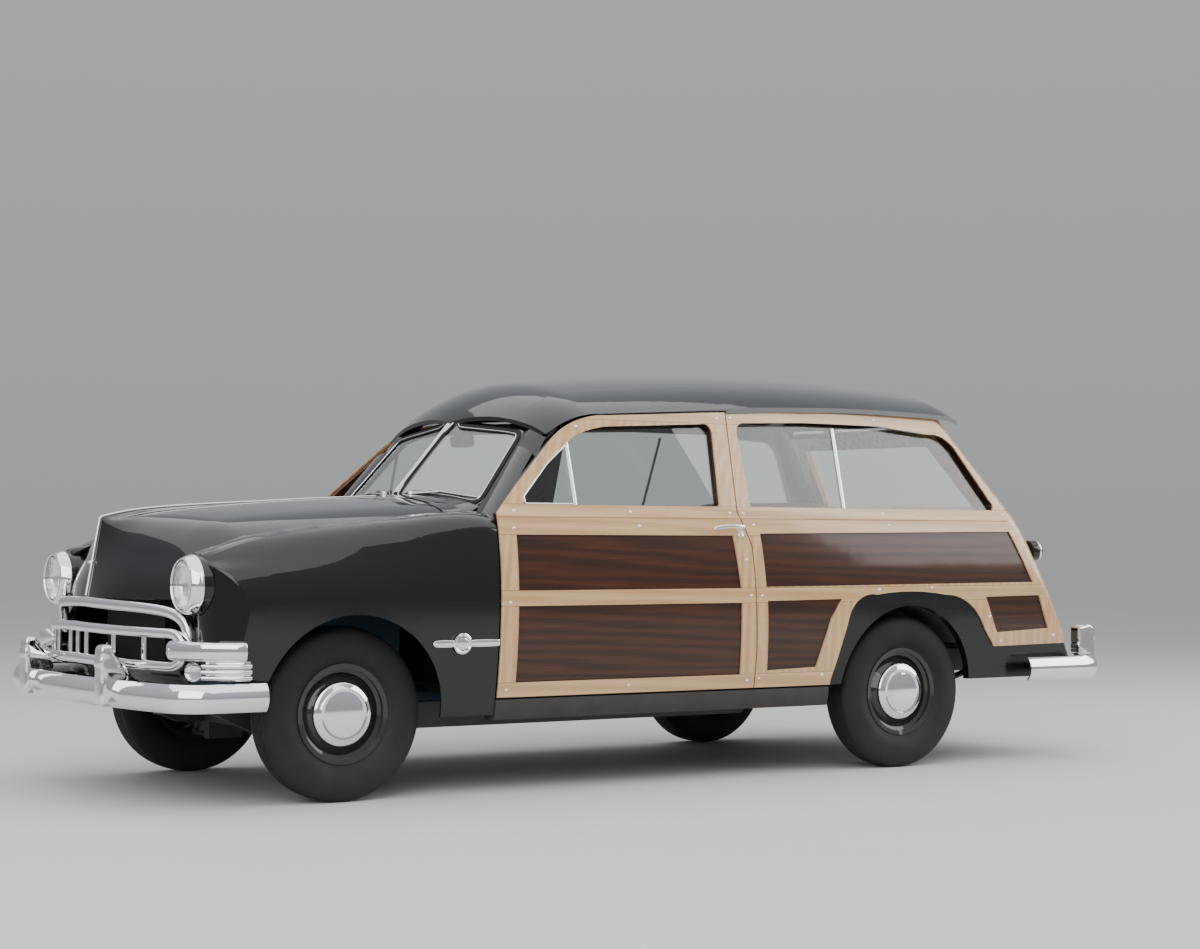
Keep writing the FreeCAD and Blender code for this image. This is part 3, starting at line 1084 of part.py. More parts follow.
def make_floor():
    """Cabin floor with its tunnel and toe board, sills, load floor, wheelhouses and rear skirt."""
    top, skin, load = size["floor_top"], size["floor_skin"], size["load_floor_top"]
    inner, wheel, tunnel = size["floor_half_width"], size["wheelbase"], size["tunnel_half_width"]
    low = [(aft(620), 560), (aft(760), top), (aft(2140), top), (aft(2140), load), (aft(3890), load),
           (aft(3890), load - skin), (aft(2140 + skin), load - skin), (aft(2140 + skin), top - skin),
           (aft(748), top - skin), (aft(612.3), 535)]
    floor = side_plate(low, -inner, inner)
    kick_room = block(599.7, 1000, aft(500), aft(size["door_front"] - size["shut_gap"]) + 0.3, 300, 700)
    floor = floor.cut(both_sides(kick_room))
    # tunnel over the gearbox and shaft
    hump = block(-tunnel - 14, tunnel + 14, aft(612.3), aft(2150), top - skin, top + 74)
    floor = floor.fuse(hump).cut(block(-tunnel, tunnel, aft(500), aft(2200), 0, top + 60))
    # wheelhouses: a drum of sheet over each wheel, closed on its inner side
    for sign in (1, -1):
        x0, x1 = sorted((sign * size["wheelhouse_inner"], sign * size["wheelhouse_outer"]))
        house = wheel_cut(wheel, x0, x1, size["arch_radius"] + 12)
        floor = floor.fuse(house.common(block(-1000, 1000, aft(2200), aft(3600), load - skin, 1000)))
        x0, x1 = sorted((sign * (size["wheelhouse_inner"] + 12), sign * 1000))
        floor = floor.cut(wheel_cut(wheel, x0, x1, size["arch_radius"]))
    # sills under the doors
    outer, sill = size["half_width"], size["sill_height"]
    points = [(inner - 16, top - 92), (outer - 52, top - 92), ((outer - 40, top - 62), (outer - 34, sill)),
              (inner - 16, sill)]
    floor = floor.fuse(both_sides(cross_plate(points, aft(size["door_front"] - size["shut_gap"]) + 0.3, aft(wheel - 480))))
    # rear skirt below the tailgate
    edge, skirt_top = size["gate_half_width"] + size["shut_gap"] - size["seat_gap"], size["gate_hinge"] - 14
    skirt = tail_plate(size["tail_skirt_height"], skirt_top, 0, 14, edge, edge)
    ledge = block(-edge, edge, aft(3872), aft(tail_place(540)) - 6, 524, 540)
    drop = block(-edge, edge, aft(3872), aft(3890), 524, load - 2)
    irons = both_sides(block(384.7, 425.3, aft(3900), aft(4100), 419, 455.3))
    _, _, post, _ = tailgate_hinge()
    y, z = aft(tail_place(size["gate_hinge"])), size["gate_hinge"]
    strap = block(340.3, 380, y - 3.5, y + 3.5, z - 22, z)
    floor = floor.fuse([skirt, ledge, drop] + both_sides(post) + both_sides(strap)).cut(irons)
    add_piece("floor", floor.removeSplitter())


def cushion(x0, x1, y0, y1, z0, z1, r):
    """Seat cushion with its long edges rounded, seen from the side."""
    points = [(y0 + r, z0), (y1 - r, z0), ((y1 - r * 0.293, z0 + r * 0.293), (y1, z0 + r)), (y1, z1 - r),
              ((y1 - r * 0.293, z1 - r * 0.293), (y1 - r, z1)), (y0 + r, z1),
              ((y0 + r * 0.293, z1 - r * 0.293), (y0, z1 - r)), (y0, z0 + r), ((y0 + r * 0.293, z0 + r * 0.293), (y0 + r, z0))]
    return side_plate(points, x0, x1)


def make_seats():
    seats = [
        # name, half width, front of cushion aft, length, foot of cushion, seat height, back height, lean
        ("front_seat", 640, 1190, 520, 560, 760, 1190, 14),
        ("rear_seat", 540, 2200, 470, 690, 880, 1240, 16),
    ]
    for name, half, front, length, foot, seat, back, lean in seats:
        base = cushion(-half, half, aft(front), aft(front + length), foot, seat, 45)
        rest = cushion(-half, half, aft(front + length - 110), aft(front + length + 30), seat - 60, back, 50)
        rest = rest.rotate(V(0, aft(front + length - 60), seat), V(1, 0, 0), -lean)
        add_piece(name, [base.cut(rest.makeOffsetShape(0.3, 0.01)), rest])


def make_seat_frames():
    """Box under each seat that carries its cushion."""
    front = block(-600, 600, aft(1230), aft(1640), size["floor_top"] + 74.3, 559.7)
    legs = both_sides(block(560, 600, aft(1230), aft(1640), size["floor_top"] + 0.3, 480))
    rear = block(-500, 500, aft(2240), aft(2600), size["load_floor_top"] + 0.3, 689.7)
    add_piece("seat_frames", [front.fuse(legs).removeSplitter(), rear])


def make_engine():
    engine = block(-260, 260, aft(-240), aft(540), 400, 960)
    gearbox = block(-100, 100, aft(540), aft(1000), 335, 440)
    bell = block(-160, 160, aft(440), aft(590), 380, 560)
    add_piece("engine", engine.fuse([bell, gearbox]).removeSplitter())
    add_piece("radiator", block(-300, 300, aft(-560), aft(-500), 450.3, 940))


def make_steering():
    hub, lean = steering_line()
    reach, shaft = size["steering_radius"], 10
    centre = Part.makeCylinder(34, 40, hub - lean * 12, lean)
    rim = Part.makeTorus(reach, size["steering_rim"], hub, lean)
    down = V(1, 0, 0).cross(lean)
    spokes = [rod(8, hub, hub + way * reach) for way in (V(1, 0, 0), V(-1, 0, 0), down)]
    stub = Part.makeCylinder(shaft, 60, hub + lean * 20, lean)
    add_piece("steering_wheel", centre.fuse([rim, stub] + spokes).removeSplitter())
    column = Part.makeCylinder(size["column_radius"], 590, hub + lean * 33, lean)
    bore = Part.makeCylinder(shaft + size["spindle_clearance"], 60, hub + lean * 30, lean)
    add_piece("steering_column", column.cut(bore))


def make_underbody():
    add_piece("fuel_tank", block(-340, 250, aft(3330), aft(3740), 400, 569.7))
    muffler = rod(60, V(-300, aft(1200), 288), V(-300, aft(1750), 288))
    pipes = [rod(24, V(-300, aft(450), 288), V(-300, aft(2500), 288))]
    add_piece("exhaust", muffler.fuse(pipes).removeSplitter())


make_doors()
quarter_pane = make_quarters()
make_tail()
make_roof()
panes = make_windshield()
add_piece("cowl", make_cowl())
add_piece("fixed_glass", both_sides(quarter_pane) + panes)
make_fenders()
make_hood()
make_nose()
make_grille()
make_bumpers()
make_lamps()
make_wheels()
make_knuckles()
make_front_suspension()
make_rear_axle()
make_frame()
make_floor()
make_seats()
make_seat_frames()
make_engine()
make_steering()
make_underbody()
doc.recompute()
for item in doc.Objects:
    faults = [state for state in item.State if state in ("Invalid", "Error")]
    if faults:
        raise RuntimeError("%s did not recompute: %s" % (item.Label, faults))
os.makedirs("parts", exist_ok=True)
for piece in pieces:
    shape = piece.Shape
    if shape.isNull() or not shape.isValid():
        raise RuntimeError("%s has no sound shape" % piece.Label)
    print(piece.Label, len(shape.Solids), "solids, %.2f litres" % (shape.Volume / 1e6))
    shape.exportStep("parts/%s.step" % piece.Label)
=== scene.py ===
import json
import math
import bmesh
import bpy
import numpy as np
from mathutils import Matrix, Vector


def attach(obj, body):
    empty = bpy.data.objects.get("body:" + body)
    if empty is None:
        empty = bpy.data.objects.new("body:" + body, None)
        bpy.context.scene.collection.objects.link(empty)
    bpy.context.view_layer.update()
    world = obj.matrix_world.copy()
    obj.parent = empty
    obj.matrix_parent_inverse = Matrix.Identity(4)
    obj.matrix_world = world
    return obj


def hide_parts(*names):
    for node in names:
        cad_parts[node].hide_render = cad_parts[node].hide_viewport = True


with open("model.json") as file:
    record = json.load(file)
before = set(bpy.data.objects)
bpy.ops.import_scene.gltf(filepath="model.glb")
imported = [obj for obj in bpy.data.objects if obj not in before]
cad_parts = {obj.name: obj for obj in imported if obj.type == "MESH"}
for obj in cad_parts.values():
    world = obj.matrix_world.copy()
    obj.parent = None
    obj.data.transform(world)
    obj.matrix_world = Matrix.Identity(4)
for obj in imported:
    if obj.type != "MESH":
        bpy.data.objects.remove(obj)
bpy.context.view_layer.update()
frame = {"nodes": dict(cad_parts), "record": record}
cadNodes = frame["nodes"]
print("frame loaded with", len(cadNodes), "nodes")

# places on the car are millimetres aft of the front axle and above the floor, and pieces are in metres
frontAxle = 1673
rearAxle = 2896
axleHeight = 0.352


def aft(place):
    return (np.asarray(place, float) - frontAxle) / 1000


def spot(x, place, z):
    # point in metres from millimetres across, aft of the front axle and up
    x, z = np.asarray(x, float) / 1000, np.asarray(z, float) / 1000
    return np.stack(np.broadcast_arrays(x, aft(place), z), -1)


# surfaces, each a pair of points and quads

def gridFaces(rows, columns, closeRound=True, closeAlong=False):
    # quads between each grid point and its neighbours one step along and one step round
    i, j = np.meshgrid(np.arange(rows - (not closeAlong)), np.arange(columns - (not closeRound)),
                       indexing="ij")
    nextI, nextJ = (i + 1) % rows, (j + 1) % columns
    corners = [i * columns + j, i * columns + nextJ, nextI * columns + nextJ, nextI * columns + j]
    return np.stack(corners, -1).reshape(-1, 4)


def unit(vectors):
    vectors = np.asarray(vectors, float)
    return vectors / np.linalg.norm(vectors, axis=-1, keepdims=True)


def circle(sides):
    return np.linspace(0, 2 * np.pi, sides, endpoint=False)


def signedPower(wave, power):
    return np.sign(wave) * np.abs(wave) ** power


def smoothStep(share):
    return share * share * (3 - 2 * share)


def crossAxes(axis):
    # two directions square to each axis and to each other
    helper = np.where(np.abs(axis[..., 2:]) < 0.9, [0.0, 0, 1], [0.0, 1, 0])
    across = unit(np.cross(helper, axis))
    return across, np.cross(axis, across)


def ringsAlong(path, along, outward, halfWidth, halfDepth, sides, square):
    # path + half width * |cos|^square across + half depth * |sin|^square outward, each with its sign
    outward = np.broadcast_to(np.asarray(outward, float), path.shape)
    across = unit(np.cross(along, outward))
    outward = np.cross(across, along)
    c, s = signedPower(np.cos(circle(sides)), square), signedPower(np.sin(circle(sides)), square)
    wide = np.broadcast_to(halfWidth, len(path))[:, None] * c
    deep = np.broadcast_to(halfDepth, len(path))[:, None] * s
    return path[:, None] + wide[..., None] * across[:, None] + deep[..., None] * outward[:, None]


def carried(path, outward, halfWidth, halfDepth, sides=16, square=1.0):
    # the section's rings along an open path, each end drawn in to a point
    path = np.asarray(path, float)
    rings = ringsAlong(path, unit(np.gradient(path, axis=0)), outward, halfWidth, halfDepth, sides, square)
    ends = [np.repeat(path[k][None, None], sides, 1) for k in (0, -1)]
    points = np.concatenate([ends[0], rings, ends[1]])
    return points.reshape(-1, 3), gridFaces(len(points), sides)


def looped(path, outward, halfWidth, halfDepth, sides=10, square=1.0):
    # the section's rings round a closed path
    along = unit(np.roll(path, -1, 0) - np.roll(path, 1, 0))
    rings = ringsAlong(path, along, outward, halfWidth, halfDepth, sides, square)
    return rings.reshape(-1, 3), gridFaces(len(path), sides, closeAlong=True)


def turned(profile, centre, axis, sides=64):
    # profile points (radius, along) swept round: centre + along * axis + radius * (cos * across + sin * up)
    axis = unit(axis)
    across, up = crossAxes(axis)
    profile, angle = np.asarray(profile, float), circle(sides)
    spoke = np.cos(angle)[:, None] * across + np.sin(angle)[:, None] * up
    points = np.asarray(centre, float) + profile[:, None, 1:] * axis + profile[:, None, :1] * spoke[None]
    return points.reshape(-1, 3), gridFaces(len(profile), sides)


# share of the radius and of the height, where a height of -1 is the skirt under the dome
domeRings = np.array([(0, -1), (1, -1), (1, 0.12), (0.93, 0.42), (0.72, 0.74), (0.4, 0.94), (0, 1.0)])


def domes(places, outwards, radius, height, sides=12, skirt=0.003):
    # a low dome at each place: place + height share * outward + radius share * (cos * across + sin * up)
    places, outwards = np.atleast_2d(np.asarray(places, float)), unit(np.atleast_2d(outwards))
    across, up = crossAxes(outwards)
    wide, lift = domeRings[:, 0], np.where(domeRings[:, 1] < 0, -skirt, domeRings[:, 1] * height)
    angle = circle(sides)
    spoke = np.cos(angle)[None, :, None] * across[:, None] + np.sin(angle)[None, :, None] * up[:, None]
    points = places[:, None, None] + lift[None, :, None, None] * outwards[:, None, None]
    points = points + radius * wide[None, :, None, None] * spoke[:, None]
    starts = (np.arange(len(places)) * len(wide) * sides)[:, None, None]
    return points.reshape(-1, 3), (gridFaces(len(wide), sides)[None] + starts).reshape(-1, 4)


def lofted(rings):
    # closed rings one after another, each end drawn in to its middle
    ends = [np.repeat(rings[k].mean(0)[None, None], rings.shape[1], 1) for k in (0, -1)]
    points = np.concatenate([ends[0], rings, ends[1]])
    return points.reshape(-1, 3), gridFaces(len(points), rings.shape[1])


def shelled(grid, thickness):
    # an open surface and its copy set in along the cross product of the two grid directions, joined round
    # the rim
    rows, columns = grid.shape[:2]
    normal = unit(np.cross(np.gradient(grid, axis=1), np.gradient(grid, axis=0)) + 1e-12)
    outer = gridFaces(rows, columns, False)
    count, index = rows * columns, np.arange(rows * columns).reshape(rows, columns)
    rim = np.concatenate([index[0], index[1:, -1], index[-1, -2::-1], index[-2:0:-1, 0]])
    after = np.roll(rim, -1)
    edge = np.stack([rim, after, after + count, rim + count], -1)
    faces = np.concatenate([outer, outer[:, ::-1] + count, edge])
    return np.concatenate([grid.reshape(-1, 3), (grid - normal * thickness).reshape(-1, 3)]), faces


def joined(*parts):
    start, points, faces = 0, [], []
    for corners, quads in parts:
        points.append(corners)
        faces.append(quads + start)
        start += len(corners)
    return np.concatenate(points), np.concatenate(faces)


def mirrored(part):
    # the other side of the car: x changes sign and the faces turn round
    points, faces = part
    return points * [-1, 1, 1], faces[:, ::-1]


def bothSides(*parts):
    part = joined(*parts)
    return joined(part, mirrored(part))


def smoothLine(points, count, closed=False):
    # Catmull-Rom curve through the points: a cubic in each span from its four nearest points
    points = np.asarray(points, float)
    if closed:
        around = np.concatenate([points[-1:], points, points[:2]])
        spans = len(points)
    else:
        around = np.concatenate([2 * points[:1] - points[1:2], points, 2 * points[-1:] - points[-2:-1]])
        spans = len(points) - 1
    place = np.linspace(0, spans, count, endpoint=not closed)
    k = np.minimum(place.astype(int), spans - 1)
    t = (place - k)[:, None]
    p0, p1, p2, p3 = [around[k + step] for step in range(4)]
    bend, turn = 2 * p0 - 5 * p1 + 4 * p2 - p3, 3 * p1 - p0 - 3 * p2 + p3
    return 0.5 * (2 * p1 + (p2 - p0) * t + bend * t ** 2 + turn * t ** 3)


def evenLine(points, count, endpoint=True):
    # equal steps along the straight runs between the points
    points = np.asarray(points, float)
    length = np.r_[0, np.cumsum(np.linalg.norm(np.diff(points, axis=0), axis=1))]
    at = np.linspace(0, length[-1], count, endpoint=endpoint)
    return np.stack([np.interp(at, length, points[:, k]) for k in (0, 1)], -1)


def makePiece(name, part, body, slot, replaces=(), sharp=35, finish=None):
    # the surface as one mesh at the origin, doubles merged and normals outwards, riding on a body
    points, faces = part
    mesh = bpy.data.meshes.new(name)
    mesh.from_pydata(np.asarray(points).tolist(), [], np.asarray(faces).tolist())
    work = bmesh.new()
    work.from_mesh(mesh)
    bmesh.ops.remove_doubles(work, verts=work.verts, dist=1e-6)
    bmesh.ops.dissolve_degenerate(work, edges=work.edges, dist=1e-7)
    bmesh.ops.recalc_face_normals(work, faces=work.faces)
    work.to_mesh(mesh)
    work.free()
    mesh.polygons.foreach_set("use_smooth", np.ones(len(mesh.polygons), bool))
    mesh.set_sharp_from_angle(angle=math.radians(sharp))
    mesh.materials.append(finish or finishes[slot])
    obj = bpy.data.objects.new(name, mesh)
    bpy.context.scene.collection.objects.link(obj)
    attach(obj, body)
    if replaces:
        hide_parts(*replaces)
    return obj


def makeDoorPair(name, part, slot):
    for side, shape in (("left", part), ("right", mirrored(part))):
        makePiece(name + "_" + side, shape, "door_" + side, slot)


# the body side, as the CAD draws it, in millimetres

bodySide = dict(half=904, widest=800, foot=400, tuckUnder=34, belt=1150, beltTuck=42, glass=1185,
                glassTuck=58,
                rail=1640, railTuck=204, roof=1900, roofTuck=288, doorRearBelt=1905, taperAhead=60, taper=42,
                corner=105, tailFoot=(630, 3946), tailBelt=(1175, 3658), tailTop=(1620, 3325), tailBelow=300)


def sideTuck(z):
    # a circle below and above the widest line, then straight runs up the window frame
    b = bodySide
    footRadius = ((b["widest"] - b["foot"]) ** 2 + b["tuckUnder"] ** 2) / (2 * b["tuckUnder"])
    beltRadius = ((b["belt"] - b["widest"]) ** 2 + b["beltTuck"] ** 2) / (2 * b["beltTuck"])
    z = np.asarray(z, float)
    low = footRadius - np.sqrt(footRadius ** 2 - np.clip(b["widest"] - z, 0, 900) ** 2)
    high = beltRadius - np.sqrt(beltRadius ** 2 - np.clip(z - b["widest"], 0, 350) ** 2)
    window = np.interp(z, [b["belt"], b["glass"], b["rail"], b["roof"]],
                       [b["beltTuck"], b["glassTuck"], b["railTuck"], b["roofTuck"]])
    return np.where(z <= b["widest"], low, np.where(z <= b["belt"], high, window))


def tailPlace(z):
    # straight runs from foot to belt to top, the lowest one carried on below the foot
    (footZ, foot), (beltZ, belt), (topZ, top) = [bodySide[key] for key in ("tailFoot", "tailBelt", "tailTop")]
    below = bodySide["tailBelow"]
    slope = (foot - belt) / (beltZ - footZ)
    return np.interp(z, [footZ - below, footZ, beltZ, topZ], [foot + below * slope, foot, belt, top])


def sidePoint(place, z, lift=0.0, quarter=True):
    # left outer face, lifted out by some millimetres; the quarter tapers with the square of the share aft,
    # then turns its corner on a circle
    b = bodySide
    place, z = np.broadcast_arrays(np.asarray(place, float), np.asarray(z, float))
    start, cornerStart = b["doorRearBelt"] - b["taperAhead"], tailPlace(z) - b["corner"]
    share = np.clip((place - start) / (cornerStart - start), 0, 1) * quarter
    x = b["half"] - sideTuck(z) - b["taper"] * share ** 2
    past = np.clip(place - cornerStart, 0, b["corner"] - 1) * quarter
    x = x - b["corner"] + np.sqrt(b["corner"] ** 2 - past ** 2)
    return spot(x + lift, place, z)


def sideNormal(place, z, quarter=True, step=2.0):
    # cross product of the two directions along the face
    place, z = np.asarray(place), np.asarray(z)
    along = sidePoint(place + step, z, quarter=quarter) - sidePoint(place - step, z, quarter=quarter)
    up = sidePoint(place, z + step, quarter=quarter) - sidePoint(place, z - step, quarter=quarter)
    return unit(np.cross(along, up))


def sideFrame(place, z, quarter=True):
    return sidePoint(place, z, quarter=quarter), sideNormal(place, z, quarter)


def sideLine(table, count, lift=0.0, quarter=True):
    # straight runs laid on the side through (place, z) points, lifted along the face's normal by some
    # millimetres
    flat = evenLine(table, count)
    points, normal = sideFrame(flat[:, 0], flat[:, 1], quarter)
    return points + normal * lift / 1000, normal


# node groups

def newGroup(name, inputs, outputs):
    group = bpy.data.node_groups.new(name, "ShaderNodeTree")
    for label, kind, value in inputs:
        socket = group.interface.new_socket(name=label, in_out="INPUT", socket_type=kind)
        if value is not None:
            socket.default_value = value
    for label, kind in outputs:
        group.interface.new_socket(name=label, in_out="OUTPUT", socket_type=kind)
    return group, group.nodes.new("NodeGroupInput"), group.nodes.new("NodeGroupOutput")


def addNode(tree, kind, settings=(), **values):
    node = tree.nodes.new(kind)
    for label, value in dict(settings).items():
        setattr(node, label, value)
    for label, value in values.items():
        node.inputs[label.replace("_", " ")].default_value = value
    return node


def setOrLink(tree, socket, value):
    if isinstance(value, bpy.types.NodeSocket):
        tree.links.new(value, socket)
    elif value is not None:
        socket.default_value = value


def addMath(tree, operation, first, second=None):
    node = tree.nodes.new("ShaderNodeMath")
    node.operation = operation
    for socket, value in zip(node.inputs, (first, second)):
        setOrLink(tree, socket, value)
    return node.outputs[0]


def mixColors(tree, share, first, second):
    node = tree.nodes.new("ShaderNodeMix")
    node.data_type = "RGBA"
    # sockets 6 and 7 are the two colours, and output 2 is the mixed one
    for key, value in (("Factor", share), (6, first), (7, second)):
        setOrLink(tree, node.inputs[key], value)
    return node.outputs[2]


def axisPlace(tree, vector, axis):
    split = tree.nodes.new("ShaderNodeSeparateXYZ")
    tree.links.new(vector, split.inputs[0])
    return split.outputs[axis]


def buildGrain():
    # fibres: noise drawn out along Y, over slow bands; pores: finer and longer noise; both move colour, and
    # the pores alone move height
    group, source, sink = newGroup(
        "woodFibres",
        [("Vector", "NodeSocketVector", None), ("Light", "NodeSocketColor", (0.6, 0.36, 0.16, 1)),
         ("Dark", "NodeSocketColor", (0.35, 0.17, 0.06, 1)), ("Fineness", "NodeSocketFloat", 1.0),
         ("Figure", "NodeSocketFloat", 0.5)],
        [("Color", "NodeSocketColor"), ("Height", "NodeSocketFloat"), ("Roughness", "NodeSocketFloat")])
    links = group.links
    stretch = addNode(group, "ShaderNodeMapping", Scale=(26, 1.3, 26))
    fine = addNode(group, "ShaderNodeMapping", Scale=(190, 5, 190))
    broad = addNode(group, "ShaderNodeTexNoise", Scale=1.0, Detail=6.0, Roughness=0.62, Distortion=0.7)
    bands = addNode(group, "ShaderNodeTexWave", {"bands_direction": "DIAGONAL"}, Scale=0.5, Distortion=9.0,
                    Detail=3.0, Detail_Scale=0.8)
    pores = addNode(group, "ShaderNodeTexNoise", Scale=1.0, Detail=3.0, Roughness=0.55)
    for mapping, textures in ((stretch, (broad, bands)), (fine, (pores,))):
        links.new(source.outputs["Vector"], mapping.inputs["Vector"])
        for texture in textures:
            links.new(mapping.outputs[0], texture.inputs["Vector"])
    bandPart = addMath(group, "MULTIPLY", bands.outputs["Fac"], source.outputs["Figure"])
    broadPart = addMath(group, "MULTIPLY", broad.outputs["Fac"], 0.75)
    poreCut = addMath(group, "SUBTRACT", pores.outputs["Fac"], 0.5)
    poreCut = addMath(group, "MULTIPLY", poreCut, source.outputs["Fineness"])
    share = addMath(group, "ADD", addMath(group, "ADD", bandPart, broadPart), poreCut)
    tone = addMath(group, "MULTIPLY", addMath(group, "SUBTRACT", share, 0.28), 1.25)
    tone = addMath(group, "MINIMUM", addMath(group, "MAXIMUM", tone, 0.0), 1.0)
    rough = addMath(group, "ADD", addMath(group, "MULTIPLY", tone, 0.12), 0.24)
    links.new(mixColors(group, tone, source.outputs["Light"], source.outputs["Dark"]), sink.inputs["Color"])
    links.new(addMath(group, "MULTIPLY", poreCut, -0.6), sink.inputs["Height"])
    links.new(rough, sink.inputs["Roughness"])
    return group


def buildFilm():
    # road film: slow patches of noise, stronger towards the floor, that dull a finish and lighten it a little
    group, source, sink = newGroup(
        "roadFilm",
        [("Vector", "NodeSocketVector", None), ("Amount", "NodeSocketFloat", 0.3),
         ("Clean", "NodeSocketFloat", 0.12)],
        [("Mask", "NodeSocketFloat"), ("Roughness", "NodeSocketFloat")])
    noise = addNode(group, "ShaderNodeTexNoise", Scale=7.0, Detail=6.0, Roughness=0.6)
    group.links.new(source.outputs["Vector"], noise.inputs["Vector"])
    low = addMath(group, "SUBTRACT", 0.75, axisPlace(group, source.outputs["Vector"], "Z"))
    mask = addMath(group, "MULTIPLY", addMath(group, "MAXIMUM", low, 0.06), noise.outputs["Fac"])
    mask = addMath(group, "MINIMUM", addMath(group, "MULTIPLY", mask, source.outputs["Amount"]), 1.0)
    rough = addMath(group, "ADD", addMath(group, "MULTIPLY", mask, 0.5), source.outputs["Clean"])
    group.links.new(mask, sink.inputs["Mask"])
    group.links.new(rough, sink.inputs["Roughness"])
    return group


def buildPebble():
    # pebbled skin: cell borders of a Voronoi pattern, softened by noise, as on moulded rubber and leather
    group, source, sink = newGroup(
        "pebbledSkin",
        [("Vector", "NodeSocketVector", None), ("Size", "NodeSocketFloat", 220.0)],
        [("Height", "NodeSocketFloat"), ("Mask", "NodeSocketFloat")])
    cells = addNode(group, "ShaderNodeTexVoronoi", {"feature": "DISTANCE_TO_EDGE"})
    noise = addNode(group, "ShaderNodeTexNoise", Scale=12.0, Detail=5.0)
    for texture in (cells, noise):
        group.links.new(source.outputs["Vector"], texture.inputs["Vector"])
    group.links.new(source.outputs["Size"], cells.inputs["Scale"])
    edge = addMath(group, "MINIMUM", addMath(group, "MULTIPLY", cells.outputs["Distance"], 4.0), 1.0)
    group.links.new(addMath(group, "ADD", edge, noise.outputs["Fac"]), sink.inputs["Height"])
    group.links.new(noise.outputs["Fac"], sink.inputs["Mask"])
    return group


grainGroup, filmGroup, pebbleGroup = buildGrain(), buildFilm(), buildPebble()


# materials

def newMaterial(name, **settings):
    material = bpy.data.materials.new(name)
    material.use_nodes = True
    tree = material.node_tree
    shader = tree.nodes["Principled BSDF"]
    for label, value in settings.items():
        shader.inputs[label.replace("_", " ")].default_value = value
    coordinates = tree.nodes.new("ShaderNodeTexCoord")
    return material, tree, shader, coordinates.outputs["Object"]


def useGroup(tree, group, vector, **values):
    node = tree.nodes.new("ShaderNodeGroup")
    node.node_tree = group
    tree.links.new(vector, node.inputs["Vector"])
    for label, value in values.items():
        setOrLink(tree, node.inputs[label], value)
    return node.outputs


def useSurface(tree, shader, color, rough=None):
    tree.links.new(color, shader.inputs["Base Color"])
    if rough:
        tree.links.new(rough, shader.inputs["Roughness"])


def useNoise(tree, vector, **values):
    noise = addNode(tree, "ShaderNodeTexNoise", **values)
    tree.links.new(vector, noise.inputs["Vector"])
    return noise.outputs["Fac"]


def addBump(tree, shader, height, strength, distance):
    bump = addNode(tree, "ShaderNodeBump", Strength=strength, Distance=distance)
    tree.links.new(height, bump.inputs["Height"])
    tree.links.new(bump.outputs[0], shader.inputs["Normal"])


dust = dict(paint=(0.16, 0.15, 0.135, 1), metal=(0.3, 0.28, 0.25, 1), rubber=(0.12, 0.11, 0.10, 1))


def paintMaterial(name, color, film, clean, coat=1.0):
    material, tree, shader, vector = newMaterial(name, Coat_Weight=coat, Coat_Roughness=0.03,
                                                 Specular_IOR_Level=0.5 - 0.45 * coat)
    road = useGroup(tree, filmGroup, vector, Amount=film, Clean=clean)
    useSurface(tree, shader, mixColors(tree, road["Mask"], color + (1,), dust["paint"]), road["Roughness"])
    addBump(tree, shader, useNoise(tree, vector, Scale=240.0, Detail=2.0), 0.035, 0.001)
    return material


def metalMaterial(name, color, rough, brushed=0.0, film=0.12):
    material, tree, shader, vector = newMaterial(name, Metallic=1.0)
    road = useGroup(tree, filmGroup, vector, Amount=film, Clean=rough)
    useSurface(tree, shader, mixColors(tree, road["Mask"], color + (1,), dust["metal"]), road["Roughness"])
    ripple = useNoise(tree, vector, Scale=60.0 + 400 * brushed, Detail=3.0)
    addBump(tree, shader, ripple, 0.02 + 0.2 * brushed, 0.0006)
    return material


woodTones = dict(
    frameLight=(0.62, 0.40, 0.20, 1), frameDark=(0.42, 0.235, 0.095, 1), frameSeam=(0.13, 0.065, 0.025, 1),
    panelLight=(0.060, 0.019, 0.009, 1), panelDark=(0.020, 0.006, 0.0035, 1),
    # heights of the lengthwise rails: middle and half height in metres
    rails=((0.431, 0.031), (0.8095, 0.0325), (1.136, 0.064), (1.69, 0.12)), seamWidth=0.0011)


def frameWoodMaterial(name):
    # grain runs along the rails between their two edges and up the posts elsewhere, with a fine seam at
    # each joint
    material, tree, shader, vector = newMaterial(name, Coat_Weight=0.7, Coat_Roughness=0.08)
    z = axisPlace(tree, vector, "Z")
    upright = addNode(tree, "ShaderNodeMapping", Rotation=(math.pi / 2, 0, 0))
    tree.links.new(vector, upright.inputs["Vector"])
    tones = dict(Light=woodTones["frameLight"], Dark=woodTones["frameDark"], Fineness=0.5, Figure=0.42)
    along = useGroup(tree, grainGroup, vector, **tones)
    up = useGroup(tree, grainGroup, upright.outputs[0], **tones)
    mask, seam = 0.0, 0.0
    for middle, half in woodTones["rails"]:
        gap = addMath(tree, "ABSOLUTE", addMath(tree, "SUBTRACT", z, middle))
        mask = addMath(tree, "MAXIMUM", addMath(tree, "LESS_THAN", gap, half), mask)
        edge = addMath(tree, "ABSOLUTE", addMath(tree, "SUBTRACT", gap, half))
        seam = addMath(tree, "MAXIMUM", addMath(tree, "LESS_THAN", edge, woodTones["seamWidth"]), seam)
    color = mixColors(tree, mask, up["Color"], along["Color"])
    color = mixColors(tree, addMath(tree, "MULTIPLY", seam, 0.75), color, woodTones["frameSeam"])
    useSurface(tree, shader, color, along["Roughness"])
    height = addMath(tree, "SUBTRACT", along["Height"], addMath(tree, "MULTIPLY", seam, 0.8))
    addBump(tree, shader, height, 0.22, 0.0012)
    return material


